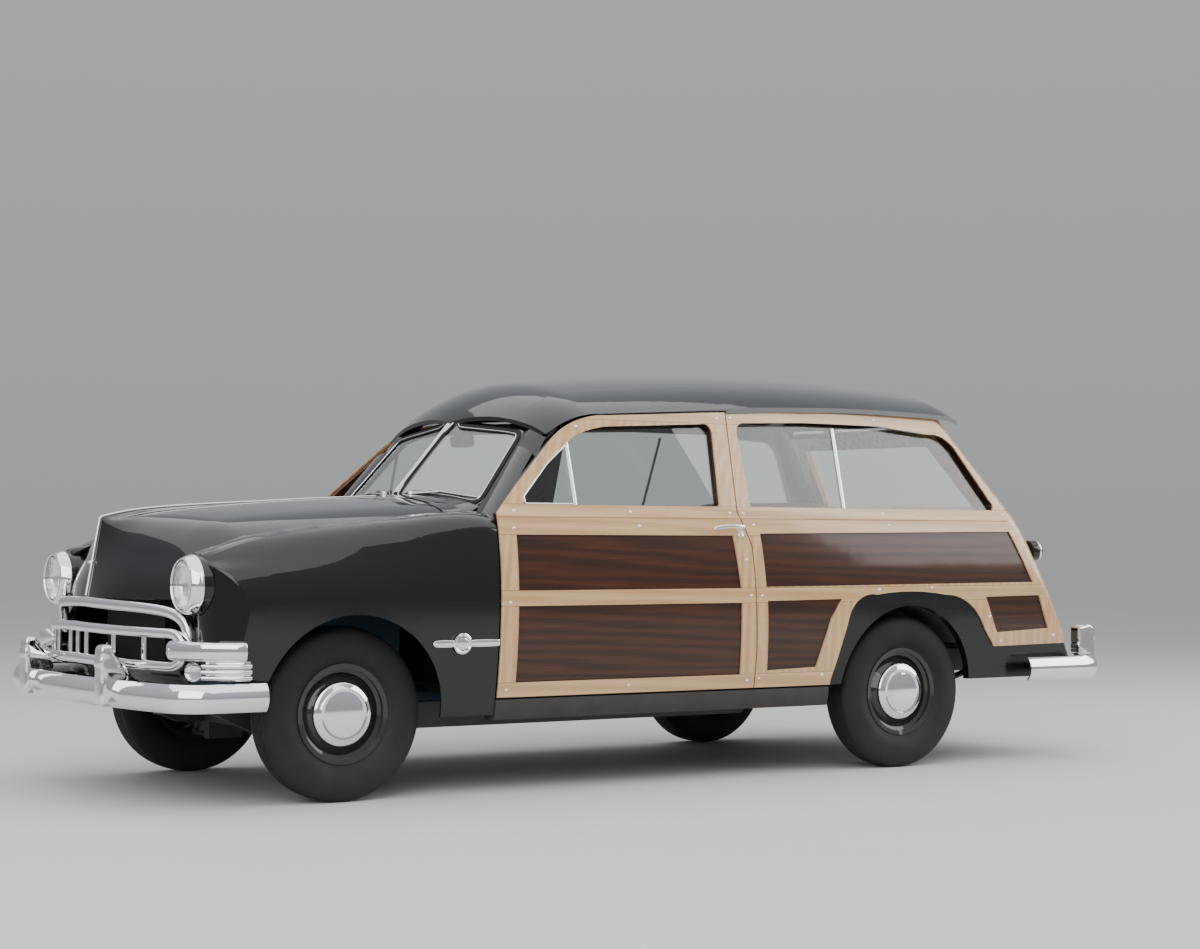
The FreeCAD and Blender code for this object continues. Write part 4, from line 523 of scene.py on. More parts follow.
# the painted part of each rear side: an arch |y|^4 + |z|^4 < 1 round its middle, and the skirt behind and
# below
paintedArch = dict(middle=(float(aft(rearAxle + 14)), 0.30), half=(0.50, 0.515), skirtTop=0.59,
                   color=(0.0045, 0.0045, 0.0055))


def fourthPower(tree, place, middle, half):
    share = addMath(tree, "DIVIDE", addMath(tree, "SUBTRACT", place, middle), half)
    return addMath(tree, "POWER", addMath(tree, "ABSOLUTE", share), 4.0)


def panelWoodMaterial(name, painted):
    # dark plywood face; inside the painted mask the same node is body paint
    material, tree, shader, vector = newMaterial(name, Coat_Weight=0.6, Coat_Roughness=0.09,
                                                 Specular_IOR_Level=0.15)
    grain = useGroup(tree, grainGroup, vector, Light=woodTones["panelLight"], Dark=woodTones["panelDark"],
                     Fineness=0.8, Figure=0.55)
    color, height = grain["Color"], grain["Height"]
    if painted:
        y, z = axisPlace(tree, vector, "Y"), axisPlace(tree, vector, "Z")
        (archY, archZ), (halfY, halfZ) = paintedArch["middle"], paintedArch["half"]
        arch = addMath(tree, "ADD", fourthPower(tree, y, archY, halfY), fourthPower(tree, z, archZ, halfZ))
        skirt = addMath(tree, "MULTIPLY", addMath(tree, "LESS_THAN", z, paintedArch["skirtTop"]),
                        addMath(tree, "GREATER_THAN", y, archY))
        mask = addMath(tree, "MAXIMUM", addMath(tree, "LESS_THAN", arch, 1.0), skirt)
        color = mixColors(tree, mask, color, paintedArch["color"] + (1,))
        height = addMath(tree, "MULTIPLY", height, addMath(tree, "SUBTRACT", 1.0, mask))
    addBump(tree, shader, height, 0.1, 0.0006)
    useSurface(tree, shader, color, grain["Roughness"])
    return material


def glassMaterial(name, color, rough=0.0, flutes=0.0):
    material, tree, shader, vector = newMaterial(name, Base_Color=color, Roughness=rough, IOR=1.45,
                                                 Transmission_Weight=1.0)
    addBump(tree, shader, useNoise(tree, vector, Scale=3.0, Detail=2.0), 0.01 + flutes, 0.0004)
    return material


def rubberMaterial(name, color, size, strength, film=0.55):
    material, tree, shader, vector = newMaterial(name, Specular_IOR_Level=0.25)
    skin = useGroup(tree, pebbleGroup, vector, Size=size)
    road = useGroup(tree, filmGroup, vector, Amount=film, Clean=0.62)
    dark, light = [tuple(share * c for c in color) + (1,) for share in (0.7, 1.4)]
    base = mixColors(tree, skin["Mask"], dark, light)
    useSurface(tree, shader, mixColors(tree, road["Mask"], base, dust["rubber"]), road["Roughness"])
    addBump(tree, shader, skin["Height"], strength, 0.0006)
    return material


def leatherMaterial(name, light, dark):
    material, tree, shader, vector = newMaterial(name, Roughness=0.42, Sheen_Weight=0.1)
    skin = useGroup(tree, pebbleGroup, vector, Size=260.0)
    useSurface(tree, shader, mixColors(tree, skin["Mask"], dark + (1,), light + (1,)))
    addBump(tree, shader, skin["Height"], 0.25, 0.0008)
    return material


finishes = {
    "body_paint": paintMaterial("bodyPaint", (0.0045, 0.0045, 0.0055), 0.035, 0.13),
    "roof_paint": paintMaterial("roofPaint", (0.0055, 0.0055, 0.0065), 0.035, 0.15),
    "frame_wood": frameWoodMaterial("mapleFrame"),
    "panel_wood": panelWoodMaterial("mahoganyPanel", False),
    "window_glass": glassMaterial("windowGlass", (0.93, 0.97, 0.95, 1)),
    "chrome": metalMaterial("chromePlate", (0.86, 0.86, 0.87), 0.055),
    "lamp_glass": glassMaterial("lampGlass", (0.98, 0.99, 1.0, 1), 0.03, 0.04),
    "tail_lens": glassMaterial("tailLens", (0.22, 0.004, 0.003, 1), 0.05, 0.05),
    "tyre_rubber": rubberMaterial("tyreRubber", (0.010, 0.010, 0.011), 480.0, 0.12, 0.3),
    "wheel_paint": paintMaterial("wheelPaint", (0.010, 0.010, 0.011), 0.5, 0.22),
    "chassis_paint": paintMaterial("chassisPaint", (0.014, 0.014, 0.014), 0.9, 0.45, coat=0.0),
    "floor_paint": rubberMaterial("floorMat", (0.035, 0.032, 0.030), 160.0, 0.4),
    "engine_iron": paintMaterial("engineIron", (0.05, 0.09, 0.13), 0.5, 0.4, coat=0.1),
    # radiator core near black: radiators are painted black, and the dark core is also painted shade deep
    # inside the grille opening
    "radiator_core": metalMaterial("radiatorCore", (0.018, 0.017, 0.016), 0.5, 0.3),
    "exhaust_steel": metalMaterial("exhaustSteel", (0.30, 0.26, 0.23), 0.42, 0.6, film=0.6),
    "seat_cover": leatherMaterial("seatLeather", (0.20, 0.085, 0.045), (0.13, 0.050, 0.026)),
    "steering_plastic": paintMaterial("steeringPlastic", (0.30, 0.27, 0.21), 0.05, 0.2),
}
quarterPanels = panelWoodMaterial("mahoganyQuarter", True)
blackRubber = rubberMaterial("sealRubber", (0.007, 0.007, 0.007), 700.0, 0.1, 0.1)

for row in frame["record"]["subparts"]:
    finish = finishes[row["material_slot"]]
    if row["node"] in ("quarter_left", "quarter_right"):
        finish = quarterPanels
    for materialSlot in cadNodes[row["node"]].material_slots:
        materialSlot.material = finish
print("materials on the CAD nodes")


# camera, where the photograph was taken from

camera = dict(place=(9.2743, -6.1513, 1.0928), yaw=2.5504, pitch=0.0233, roll=0.0061, focal=2388.17,
              width=1200, sensor=36)


def makeCamera():
    # the view direction from yaw and pitch, then the right and up directions turned by the roll
    yaw, pitch, roll = camera["yaw"], camera["pitch"], camera["roll"]
    forward = Vector((math.cos(pitch) * math.cos(yaw), math.cos(pitch) * math.sin(yaw), math.sin(pitch)))
    right = forward.cross(Vector((0, 0, 1))).normalized()
    up = right.cross(forward)
    across = math.cos(roll) * right + math.sin(roll) * up
    above = math.cos(roll) * up - math.sin(roll) * right
    data = bpy.data.cameras.new("photoCamera")
    data.sensor_fit, data.sensor_width = "HORIZONTAL", camera["sensor"]
    data.lens = camera["focal"] * camera["sensor"] / camera["width"]
    data.clip_end = 200
    obj = bpy.data.objects.new("photoCamera", data)
    turn = Matrix((across, above, -forward)).transposed()
    obj.matrix_world = Matrix.Translation(camera["place"]) @ turn.to_4x4()
    bpy.context.scene.collection.objects.link(obj)
    bpy.context.scene.camera = obj


makeCamera()


# floor and light

studio = dict(
    floorHalf=40.0, floorColor=(0.62, 0.61, 0.59), floorDark=0.94,
    skyLow=(0.50, 0.51, 0.53, 1), skyHigh=(0.80, 0.84, 0.90, 1), skyStrength=0.75,
    # name, place, target, size, power
    lamps=(("overhead", (0.5, -0.5, 6.5), (0, 0, 0.8), (14.0, 11.0), 620),
           ("key", (7.5, -8.5, 6.0), (0.2, -0.4, 0.8), (12.0, 9.0), 1050),
           ("rear", (4.0, 8.5, 4.5), (0, 0.8, 0.9), (8.0, 5.0), 480)))


def makeFloor():
    reach = studio["floorHalf"]
    mesh = bpy.data.meshes.new("studioFloor")
    mesh.from_pydata([(-reach, -reach, 0), (reach, -reach, 0), (reach, reach, 0), (-reach, reach, 0)], [],
                     [(0, 1, 2, 3)])
    material, tree, shader, vector = newMaterial("paleFloor", Roughness=0.75)
    pale = studio["floorColor"]
    dark = tuple(studio["floorDark"] * c for c in pale)
    noise = useNoise(tree, vector, Scale=0.6, Detail=8.0)
    useSurface(tree, shader, mixColors(tree, noise, dark + (1,), pale + (1,)))
    mesh.materials.append(material)
    floor = bpy.data.objects.new("studioFloor", mesh)
    bpy.context.scene.collection.objects.link(floor)


def makeSky():
    # the low colour at the horizon and below, mixed by 1.6 times the height of the view direction
    world = bpy.data.worlds.new("studioSky")
    world.use_nodes = True
    bpy.context.scene.world = world
    tree = world.node_tree
    sky = tree.nodes["Background"]
    sky.inputs["Strength"].default_value = studio["skyStrength"]
    z = axisPlace(tree, tree.nodes.new("ShaderNodeTexCoord").outputs["Generated"], "Z")
    share = addMath(tree, "MAXIMUM", addMath(tree, "MULTIPLY", z, 1.6), 0.0)
    share = addMath(tree, "MINIMUM", share, 1.0)
    tree.links.new(mixColors(tree, share, studio["skyLow"], studio["skyHigh"]), sky.inputs["Color"])


def makeLights():
    for name, place, target, size, power in studio["lamps"]:
        data = bpy.data.lights.new(name, "AREA")
        data.shape, data.size, data.size_y, data.energy = "RECTANGLE", size[0], size[1], power
        lamp = bpy.data.objects.new(name, data)
        turn = (Vector(target) - Vector(place)).to_track_quat("-Z", "Y")
        lamp.matrix_world = Matrix.Translation(place) @ turn.to_matrix().to_4x4()
        bpy.context.scene.collection.objects.link(lamp)


makeFloor()
makeSky()
makeLights()
print("camera, floor and light")


# wood bolts and belt bead

bolts = dict(radius=0.0075, height=0.0042,
             # place aft and height of each
             door=((1129, 1537), (1893, 1596), (745, 1171), (1333, 1172), (1865, 1172), (734, 1099),
                   (1366, 1112), (702, 792), (702, 430), (1312, 432), (1926, 966), (1946, 808), (1948, 432)),
             quarter=((1966, 1600), (1938, 1172), (2008, 807), (2012, 440), (2828, 1617), (2758, 1176),
                      (3540, 1178), (2784, 1124), (3590, 1128), (2692, 828), (3019, 834), (3396, 694),
                      (3476, 575), (3832, 596), (2372, 446), (3330, 1500), (1985, 1120)))


def boltHeads(table, quarter):
    place, z = np.array(table, float).T
    return domes(*sideFrame(place, z, quarter), bolts["radius"], bolts["height"])


makeDoorPair("door_bolts", boltHeads(bolts["door"], False), "chrome")
makePiece("quarter_bolts", bothSides(boltHeads(bolts["quarter"], True)), "body", "chrome")


bead = dict(height=1150, half=0.0045, lift=0.6, door=(666, 1902), quarter=(1914, 3560))


def beadStrip(span, count, quarter):
    line, normal = sideLine([(place, bead["height"]) for place in span], count, bead["lift"], quarter)
    return carried(line, normal, bead["half"], bead["half"], sides=12)


makeDoorPair("belt_bead", beadStrip(bead["door"], 24, False), "frame_wood")
makePiece("quarter_bead", bothSides(beadStrip(bead["quarter"], 60, True)), "body", "frame_wood")
print("wood bolts and belt bead")


# door fittings

doorHandle = dict(
    # place aft, height, standing off the face in mm, half width and half depth in metres
    lever=((1912, 1104, 3, 0.010, 0.008), (1908, 1104, 22, 0.0095, 0.008), (1898, 1105, 34, 0.0095, 0.0075),
           (1860, 1106, 38, 0.0085, 0.0062), (1815, 1105, 37, 0.0085, 0.0058), (1775, 1101, 34, 0.009, 0.006),
           (1752, 1098, 31, 0.0085, 0.0065), (1743, 1096, 29, 0.003, 0.003)),
    # place aft, height, radius and rise of the plate and the lock
    plate=(1912, 1104, 0.019, 0.006), lock=(1906, 1074, 0.014, 0.007), ringStand=0.004,
    ring=((0.0075, 0), (0.0105, 0.0015), (0.0105, 0.006), (0.0080, 0.0065), (0.0075, 0.003), (0.0075, 0)))


def makeDoorHandles():
    lever = smoothLine(doorHandle["lever"], 40)
    base, normal = sideFrame(lever[:, 0], lever[:, 1], False)
    path = base + normal * lever[:, 2:3] / 1000
    parts = [carried(path, normal[20], lever[:, 3], lever[:, 4], sides=18, square=0.85)]
    for place, z, radius, height in (doorHandle["plate"], doorHandle["lock"]):
        base, normal = sideFrame(place, z, False)
        parts.append(domes(base, normal, radius, height, sides=28))
    # base and normal are now the lock's
    parts.append(turned(doorHandle["ring"], base + normal * doorHandle["ringStand"], normal, 28))
    makeDoorPair("door_handle", joined(*parts), "chrome")


# lines of place aft and height; half sizes in metres, depth behind the outer face in mm
ventWindow = dict(post=((1073, 1204), (1079, 1474)), postHalf=0.0085, depth=-21, halfWide=0.0055,
                  halfDeep=0.004,
                  frame=((1068, 1207), (822, 1207), (817, 1238), (958, 1378), (1074, 1466), (1068, 1207)))


def makeVentWindows():
    line, normal = sideLine(ventWindow["post"], 12, ventWindow["depth"], False)
    post = carried(line, normal, ventWindow["postHalf"], ventWindow["halfDeep"], square=0.7)
    line, normal = sideLine(ventWindow["frame"], 90, ventWindow["depth"], False)
    frameLoop = looped(line[:-1], normal[:-1], ventWindow["halfWide"], ventWindow["halfDeep"], square=0.7)
    makeDoorPair("vent_window", joined(post, frameLoop), "chrome")


quarterSlide = dict(line=((2577, 1574), (2549, 1202)), halfWide=0.009, halfDeep=0.0045, depth=-21)


def makeQuarterSlides():
    line, normal = sideLine(quarterSlide["line"], 12, quarterSlide["depth"])
    part = carried(line, normal, quarterSlide["halfWide"], quarterSlide["halfDeep"], square=0.7)
    makePiece("quarter_window_slides", bothSides(part), "body", "chrome")


makeDoorHandles()
makeVentWindows()
makeQuarterSlides()
print("door fittings")


# windshield trim

windshield = dict(
    # outline of the left pane: x and height on its plane, which passes through foot and climbs by slope
    # along x and z
    outline=((16, 1259), (100, 1255), (200, 1249), (300, 1241), (400, 1232), (500, 1220), (552, 1214),
             (580, 1217), (588, 1234), (575, 1290), (560, 1350), (536, 1450), (528, 1480), (515, 1498),
             (488, 1506), (400, 1517), (300, 1526), (200, 1535), (100, 1544), (16, 1551)),
    foot=(5.9, -1010.1, 1247.8), slope=(0.1696, 0.8720), outward=(0.1268, -0.7476, 0.6519),
    # seal: lift off the pane in mm, then set aside, half width and half depth in metres; it stays in line
    # with the centre bar nearer than barSide in mm
    seal=(2.5, 0.0075, 0.0165, 0.0045), barSide=30,
    bright=(6.5, 0.0026, 0.0024),
    # painted strip behind the seal: x where it starts low down and where it ends along the header, then as
    # seal
    strip=(530, 30), painted=(0.5, 0.021, 0.018, 0.0015),
    bar=((0, 1250), (0, 1560)), barBase=(0.004, 0.0145, 0.0045), barStrip=(0.009, 0.0042, 0.0036),
    barApart=0.0085,
    wiper=dict(arm=((120, 1240), (300, 1246)), armLift=14, armHalf=(0.0042, 0.0018),
               blade=((225, 1256), (575, 1222)), bladeLift=11, bladeHalf=(0.0030, 0.0042), rubberUnder=0.0065,
               rubberHalf=(0.0022, 0.0035), pivot=(0.013, 0.010)),
    mirror=dict(centre=(0, 1000, 1488), half=(0.105, 0.009, 0.029), tilt=-0.12,
                stem=((0, 0.004, 0.01), (0, 0.035, 0.062)), stemHalf=0.005))


def panePoints(table, lift):
    # y = y0 + 0.1696 (x - x0) + 0.8720 (z - z0), then out along the pane's normal
    table = np.asarray(table, float)
    x0, y0, z0 = windshield["foot"]
    y = y0 + windshield["slope"][0] * (table[:, 0] - x0) + windshield["slope"][1] * (table[:, 1] - z0)
    return (np.stack([table[:, 0], y, table[:, 1]], -1) + lift * np.array(windshield["outward"])) / 1000


def makeWindshieldTrim():
    out = np.array(windshield["outward"])
    outline = smoothLine(windshield["outline"], 260, closed=True)
    lift, beside, wide, deep = windshield["seal"]
    line = panePoints(outline, lift)
    aside = np.cross(unit(np.roll(line, -1, 0) - np.roll(line, 1, 0)), out)
    aside[outline[:, 0] < windshield["barSide"]] = 0
    seal = looped(line + aside * beside, out, wide, deep, sides=14, square=0.7)
    lift, wide, deep = windshield["bright"]
    bright = looped(panePoints(outline, lift), out, wide, deep, sides=8)
    low, high = windshield["strip"]
    run = slice(np.argmax(outline[:, 0] > low), np.flatnonzero(outline[:, 0] > high)[-1])
    lift, beside, wide, deep = windshield["painted"]
    along = unit(np.gradient(panePoints(outline, 0), axis=0))[run]
    painted = panePoints(outline, lift)[run] + np.cross(along, out) * beside
    corners = carried(painted, out, wide, deep, square=0.5)
    bar = panePoints(windshield["bar"], 0) * [0, 1, 1]
    lean = unit((0, out[1], out[2]))
    lift, wide, deep = windshield["barBase"]
    base = carried(bar + lean * lift, lean, wide, deep, square=0.6)
    lift, wide, deep = windshield["barStrip"]
    strips = [carried(bar + lean * lift + [x, 0, 0], lean, wide, deep, square=0.8)
              for x in (-windshield["barApart"], windshield["barApart"])]
    wiper = windshield["wiper"]
    arm, blade = panePoints(wiper["arm"], wiper["armLift"]), panePoints(wiper["blade"], wiper["bladeLift"])
    wipers = bothSides(carried(arm, out, *wiper["armHalf"], square=0.7),
                       carried(blade, out, *wiper["bladeHalf"], square=0.7),
                       domes(arm[:1], [out], *wiper["pivot"], sides=24, skirt=0.022))
    rubberEdge = carried(blade - out * wiper["rubberUnder"], out, *wiper["rubberHalf"])
    makePiece("windshield_seal", joined(bothSides(seal, rubberEdge), base), "body", "tyre_rubber", sharp=50,
              finish=blackRubber)
    makePiece("windshield_mouldings", joined(bothSides(bright), *strips), "body", "chrome", sharp=50)
    makePiece("windshield_corners", bothSides(corners), "body", "body_paint", sharp=50)
    makePiece("wipers", wipers, "body", "chrome", sharp=50)


def makeInsideMirror():
    # a superellipsoid |x/a|^4 + |y/b|^2 + |z/c|^4 = 1, tipped a little, on a short stem
    mirror = windshield["mirror"]
    polar, turn = np.meshgrid(np.linspace(0, np.pi, 25), circle(48), indexing="ij")
    a, b, c = mirror["half"]
    ring = signedPower(np.sin(polar), 0.5)
    head = np.stack([a * ring * signedPower(np.cos(turn), 0.5), b * np.cos(polar),
                     c * ring * signedPower(np.sin(turn), 0.5)], -1)
    head[..., 1] += mirror["tilt"] * head[..., 2]
    centre = spot(*mirror["centre"])
    stem = carried(centre + np.array(mirror["stem"]), (0, -1, 0), mirror["stemHalf"], mirror["stemHalf"])
    makePiece("inside_mirror", joined((head.reshape(-1, 3) + centre, gridFaces(25, 48)), stem), "body",
              "steering_plastic", sharp=50, finish=blackRubber)


makeWindshieldTrim()
makeInsideMirror()
print("windshield trim")


# hood

hood = dict(
    rear=573, front=-800, half=614, lip=808, skin=0.012, columns=141,
    # place aft, height on the centre line, height at the seam
    crown=((-800, 1085, 880), (-680, 1122, 952), (-566, 1148, 1003), (-412, 1170, 1050), (-150, 1194, 1088),
           (200, 1218, 1114), (573, 1236, 1138)),
    # share of the fall at a share t of the half width: first * t^2 + second * (t - third)^2 past the third
    fall=(0.735, 2.944, 0.7),
    # crest on the centre line: height, half width and power of its bell, where it starts, its length of
    # growth and the power of that
    crest=(22, 26, 1.4), crestStart=50, crestLength=770, crestGrowth=1.5,
    # height and place aft of the prow line's foot and head
    prow=((812, -774), (1138, -716)),
    # drop back from the prow: bow * x^2 low down, straight on past edge by slope, and high * |x| above the
    # heights
    bow=0.00065, edge=280, slope=0.36, high=0.42, heights=(840, 1130),
    # radius of the brow: on the centre line, growth, and the x over which it grows
    brow=(14, 116, 120), browFoot=20,
    # points of the side grid along the top, the brow and the prow
    steps=(70, 22, 30),
    lampCentre=(681, 870), lampRoom=119, lampRear=-350, flange=45,
    strip=dict(half=0.0045, deep=0.005, front=(814, 1128), frontLift=3, top=(-712, 560), topLift=1.5,
               facing=((0, -1, 0.18), (0, -0.05, 1)), frontTaper=1.25, topTaper=(1.2, 0.75),
               shelf=(0, -758, 952), shelfFacing=(0, -0.4, 1), shelfSize=(0.016, 0.006)))


def hoodTop(x, place):
    # centre height less (centre - seam) * the fall at t, the share of the half width, and a low crest along
    # the centre line that grows towards the prow
    fine = smoothLine(hood["crown"], 300)
    centre, seam = [np.interp(place, fine[:, 0], fine[:, k]) for k in (1, 2)]
    height, width, power = hood["crest"]
    grown = np.clip((hood["crestStart"] - place) / hood["crestLength"], 0, 1) ** hood["crestGrowth"]
    crest = height * np.exp(-(np.abs(x) / width) ** power) * grown
    t = np.abs(x) / hood["half"]
    first, second, start = hood["fall"]
    return centre - (centre - seam) * (first * t ** 2 + second * np.clip(t - start, 0, 1) ** 2) + crest


def hoodNose(x, z):
    # the prow line plus a drop back, which goes from its low to its high formula by a smooth step of the
    # height
    (z0, a0), (z1, a1) = hood["prow"]
    x = np.abs(x)
    line = a0 + (z - z0) / (z1 - z0) * (a1 - a0)
    low = hood["bow"] * np.minimum(x, hood["edge"]) ** 2 + hood["slope"] * np.clip(x - hood["edge"], 0, 1000)
    share = smoothStep(np.clip((z - hood["heights"][0]) / np.ptp(hood["heights"]), 0, 1))
    return line + (1 - share) * low + share * hood["high"] * x


def hoodSurface():
    # each column runs forward along the crown, turns the brow on a quadratic curve and goes down the prow
    # to the lip
    x = hood["half"] * np.sin(np.linspace(-np.pi / 2, np.pi / 2, hood["columns"]))[:, None]
    place = np.linspace(hood["rear"], hood["front"], 900)
    over = place[None] - hoodNose(x, hoodTop(x, place[None]))
    first = np.argmax(over < 0, axis=1)
    before, after = [np.take_along_axis(over, (first - n)[:, None], 1)[:, 0] for n in (1, 0)]
    cross = (place[first - 1] + (place[first] - place[first - 1]) * before / (before - after))[:, None]
    least, growth, reach = hood["brow"]
    roll = least + growth * (1 - np.exp(-(np.abs(x) / reach) ** 2))
    corner = np.stack([cross, hoodTop(x, cross)], -1)
    start = np.stack([cross + roll, hoodTop(x, cross + roll)], -1)
    foot = np.maximum(corner[..., 1] - roll, hood["lip"] + hood["browFoot"])
    end = np.stack([hoodNose(x, foot), foot], -1)
    topSteps, browSteps, prowSteps = hood["steps"]
    topPlace = hood["rear"] + (cross + roll - hood["rear"]) * np.linspace(0, 1, topSteps)[None]
    top = np.stack([topPlace, hoodTop(x, topPlace)], -1)
    t = np.linspace(0, 1, browSteps)[None, 1:, None]
    brow = (1 - t) ** 2 * start + 2 * t * (1 - t) * corner + t ** 2 * end
    down = foot + (hood["lip"] - foot) * np.linspace(0, 1, prowSteps)[None, 1:]
    front = np.stack([hoodNose(x, down), down], -1)
    line = np.concatenate([top, brow, front], 1)
    points = np.stack([np.broadcast_to(x, line.shape[:2]), line[..., 0], line[..., 1]], -1)
    # the lamps' round room: points inside it go out to its edge
    for side in (-1, 1):
        dx, dz = points[..., 0] - side * hood["lampCentre"][0], points[..., 2] - hood["lampCentre"][1]
        away = np.hypot(dx, dz)
        inside = (away < hood["lampRoom"]) & (points[..., 1] < hood["lampRear"])
        grow = np.where(inside, hood["lampRoom"] / np.maximum(away, 1), 1)
        points[..., 0] += dx * (grow - 1)
        points[..., 2] += dz * (grow - 1)
    flange = points[[0, -1]] - [0, 0, hood["flange"]]
    flange[..., 2] = np.maximum(flange[..., 2], hood["lip"] - 2)
    points = np.concatenate([flange[:1], points, flange[1:]])
    return spot(points[..., 0], points[..., 1], points[..., 2])


def makeHood():
    makePiece("hood_skin", shelled(hoodSurface(), hood["skin"]), "hood", "body_paint", ("hood",), 32)
    strip = hood["strip"]
    z = np.linspace(*strip["front"], 40)
    front = spot(0, hoodNose(0 * z, z) - strip["frontLift"], z)
    place = np.linspace(*strip["top"], 90)
    top = spot(0, place, hoodTop(0 * place, place) + strip["topLift"])
    outward = np.repeat(strip["facing"], (len(front), len(top)), 0)
    taper = np.r_[np.full(len(front), strip["frontTaper"]), np.linspace(*strip["topTaper"], len(top))]
    bright = carried(np.concatenate([front, top]), outward, strip["half"] * taper, strip["deep"] * taper,
                     square=0.8)
    shelf = domes(spot(*strip["shelf"]), strip["shelfFacing"], *strip["shelfSize"], sides=24)
    makePiece("hood_strip", joined(bright, shelf), "hood", "chrome", sharp=60)


makeHood()
print("hood")


# fender fronts and nose panel, drawn back beside the prow

drawBack = dict(reach=0.044, middle=635, width=150, start=-400, full=-620,
                # places, and fall of the crown there; height and distance out over which the fall sets in
                fall=((-620, -560, -400, -150, 150), (30, 27, 21, 10, 0)), above=(930, 990),
                beyond=(620, 668))


def drawnBack(name):
    # the CAD mesh with its front moved back: reach * bell of x past the middle * smooth step of the place,
    # and with its crown lowered: fall * share of the height * smooth step of the distance out
    mesh = cadNodes[name].data.copy()
    points = np.empty(len(mesh.vertices) * 3)
    mesh.vertices.foreach_get("co", points)
    points = points.reshape(-1, 3)
    x, place = np.abs(points[:, 0]) * 1000, points[:, 1] * 1000 + frontAxle
    share = np.clip((drawBack["start"] - place) / (drawBack["start"] - drawBack["full"]), 0, 1)
    bell = np.exp(-(np.clip(x - drawBack["middle"], 0, 1000) / drawBack["width"]) ** 2)
    points[:, 1] += drawBack["reach"] * bell * smoothStep(share)
    high = np.clip((points[:, 2] * 1000 - drawBack["above"][0]) / np.ptp(drawBack["above"]), 0, 1)
    out = np.clip((x - drawBack["beyond"][0]) / np.ptp(drawBack["beyond"]), 0, 1)
    points[:, 2] -= np.interp(place, *drawBack["fall"]) * high * smoothStep(out) / 1000
    mesh.vertices.foreach_set("co", points.ravel())
    mesh.materials.clear()
    mesh.materials.append(finishes["body_paint"])
    obj = bpy.data.objects.new(name + "_face", mesh)
    bpy.context.scene.collection.objects.link(obj)
    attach(obj, "body")
    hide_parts(name)


for panelName in ("fender_left", "fender_right", "nose_panel"):
    drawnBack(panelName)
print("fender fronts")


# grille

grille = dict(
    # half of the arch: x, height of its centre line; then place aft y0 + k x^2, as y0 and k
    arch=((0, 789), (150, 786), (300, 781), (430, 775), (530, 766), (590, 751), (628, 723), (646, 686),
          (652, 640)),
    archPlan=(-782, 0.000400), archHalf=0.0215, archDeep=0.020,
    ring=dict(plan=(-812, 0.000387), half=(606, 64), corner=62, middle=628, tall=0.0205, deep=0.022,
              tilt=-0.020),
    # x of the upright bars inside the ring; how far behind its line and inside its top and foot they stand
    bars=(0, 85, 293, 472), barBehind=4, barInside=8, barHalf=0.012, barDeep=0.008,
    # corner housing in plan: x, place aft; each end swells by a factor of the share of the length, from a
    # least share
    wing=((596, -672), (640, -680), (700, -676), (770, -648), (830, -600), (870, -545), (889, -500),
          (893, -478)),
    wingMiddle=617, wingHalf=0.0385, wingDeep=0.030, wingEnds=((5, 0.08), (13, 0.05)),
    fins=(561, 538, 515), finPlan=((800, -622), (840, -582), (872, -530), (888, -490), (893, -462)),
    finHalf=0.0085, finDeep=0.016,
    backing=((790, -600), (850, -545), (878, -490), (884, -462)), backingMiddle=542,
    backingSize=(0.040, 0.008))


def bowed(x, z, plan, behind=0):
    # line laid back along y = y0 + k x^2, with its outward direction in plan
    y0, k = plan
    return spot(x, y0 + k * x ** 2 + behind, z), np.stack([2 * k * x, -np.ones(len(x)), 0 * x], -1)


def planPath(table, z, count):
    # line through plan points at one height, with its outward direction in plan
    flat = smoothLine(table, count)
    path = spot(flat[:, 0], flat[:, 1], z)
    along = unit(np.gradient(path, axis=0))
    return path, np.stack([along[:, 1], -along[:, 0], 0 * along[:, 2]], -1)


def grilleArch():
    half = smoothLine(grille["arch"], 70)
    x = np.r_[-half[:0:-1, 0], half[:, 0]]
    z = np.r_[half[:0:-1, 1], half[:, 1]]
    path, out = bowed(x, z, grille["archPlan"])
    return carried(path, unit(out), grille["archHalf"], grille["archDeep"], sides=28, square=0.72)


def grilleRing():
    # a rounded rectangle: one corner on a circle, turned over for the other three
    ring = grille["ring"]
    (a, b), r = ring["half"], ring["corner"]
    turn = np.linspace(0, np.pi / 2, 18)
    corner = np.stack([a + r * np.sin(turn), b - r + r * np.cos(turn)], -1)
    right = np.concatenate([corner, corner[::-1] * [1, -1]])
    loop = np.concatenate([right, right[::-1] * [-1, 1], corner[:1]])
    x, z = evenLine(loop, 360, False).T
    path, out = bowed(x, ring["middle"] + z + ring["tilt"] * np.abs(x), ring["plan"])
    return looped(path, unit(out), ring["tall"], ring["deep"], sides=24, square=0.75)


def grilleBars():
    ring = grille["ring"]
    tall = ring["half"][1] - grille["barInside"]
    z = np.linspace(ring["middle"] - tall, ring["middle"] + tall, 12)
    for bar in sorted({side * x for x in grille["bars"] for side in (-1, 1)}):
        path, out = bowed(np.full(12, float(bar)), z + ring["tilt"] * abs(bar), ring["plan"],
                          grille["barBehind"])
        yield carried(path, out, grille["barHalf"], grille["barDeep"], square=0.5)


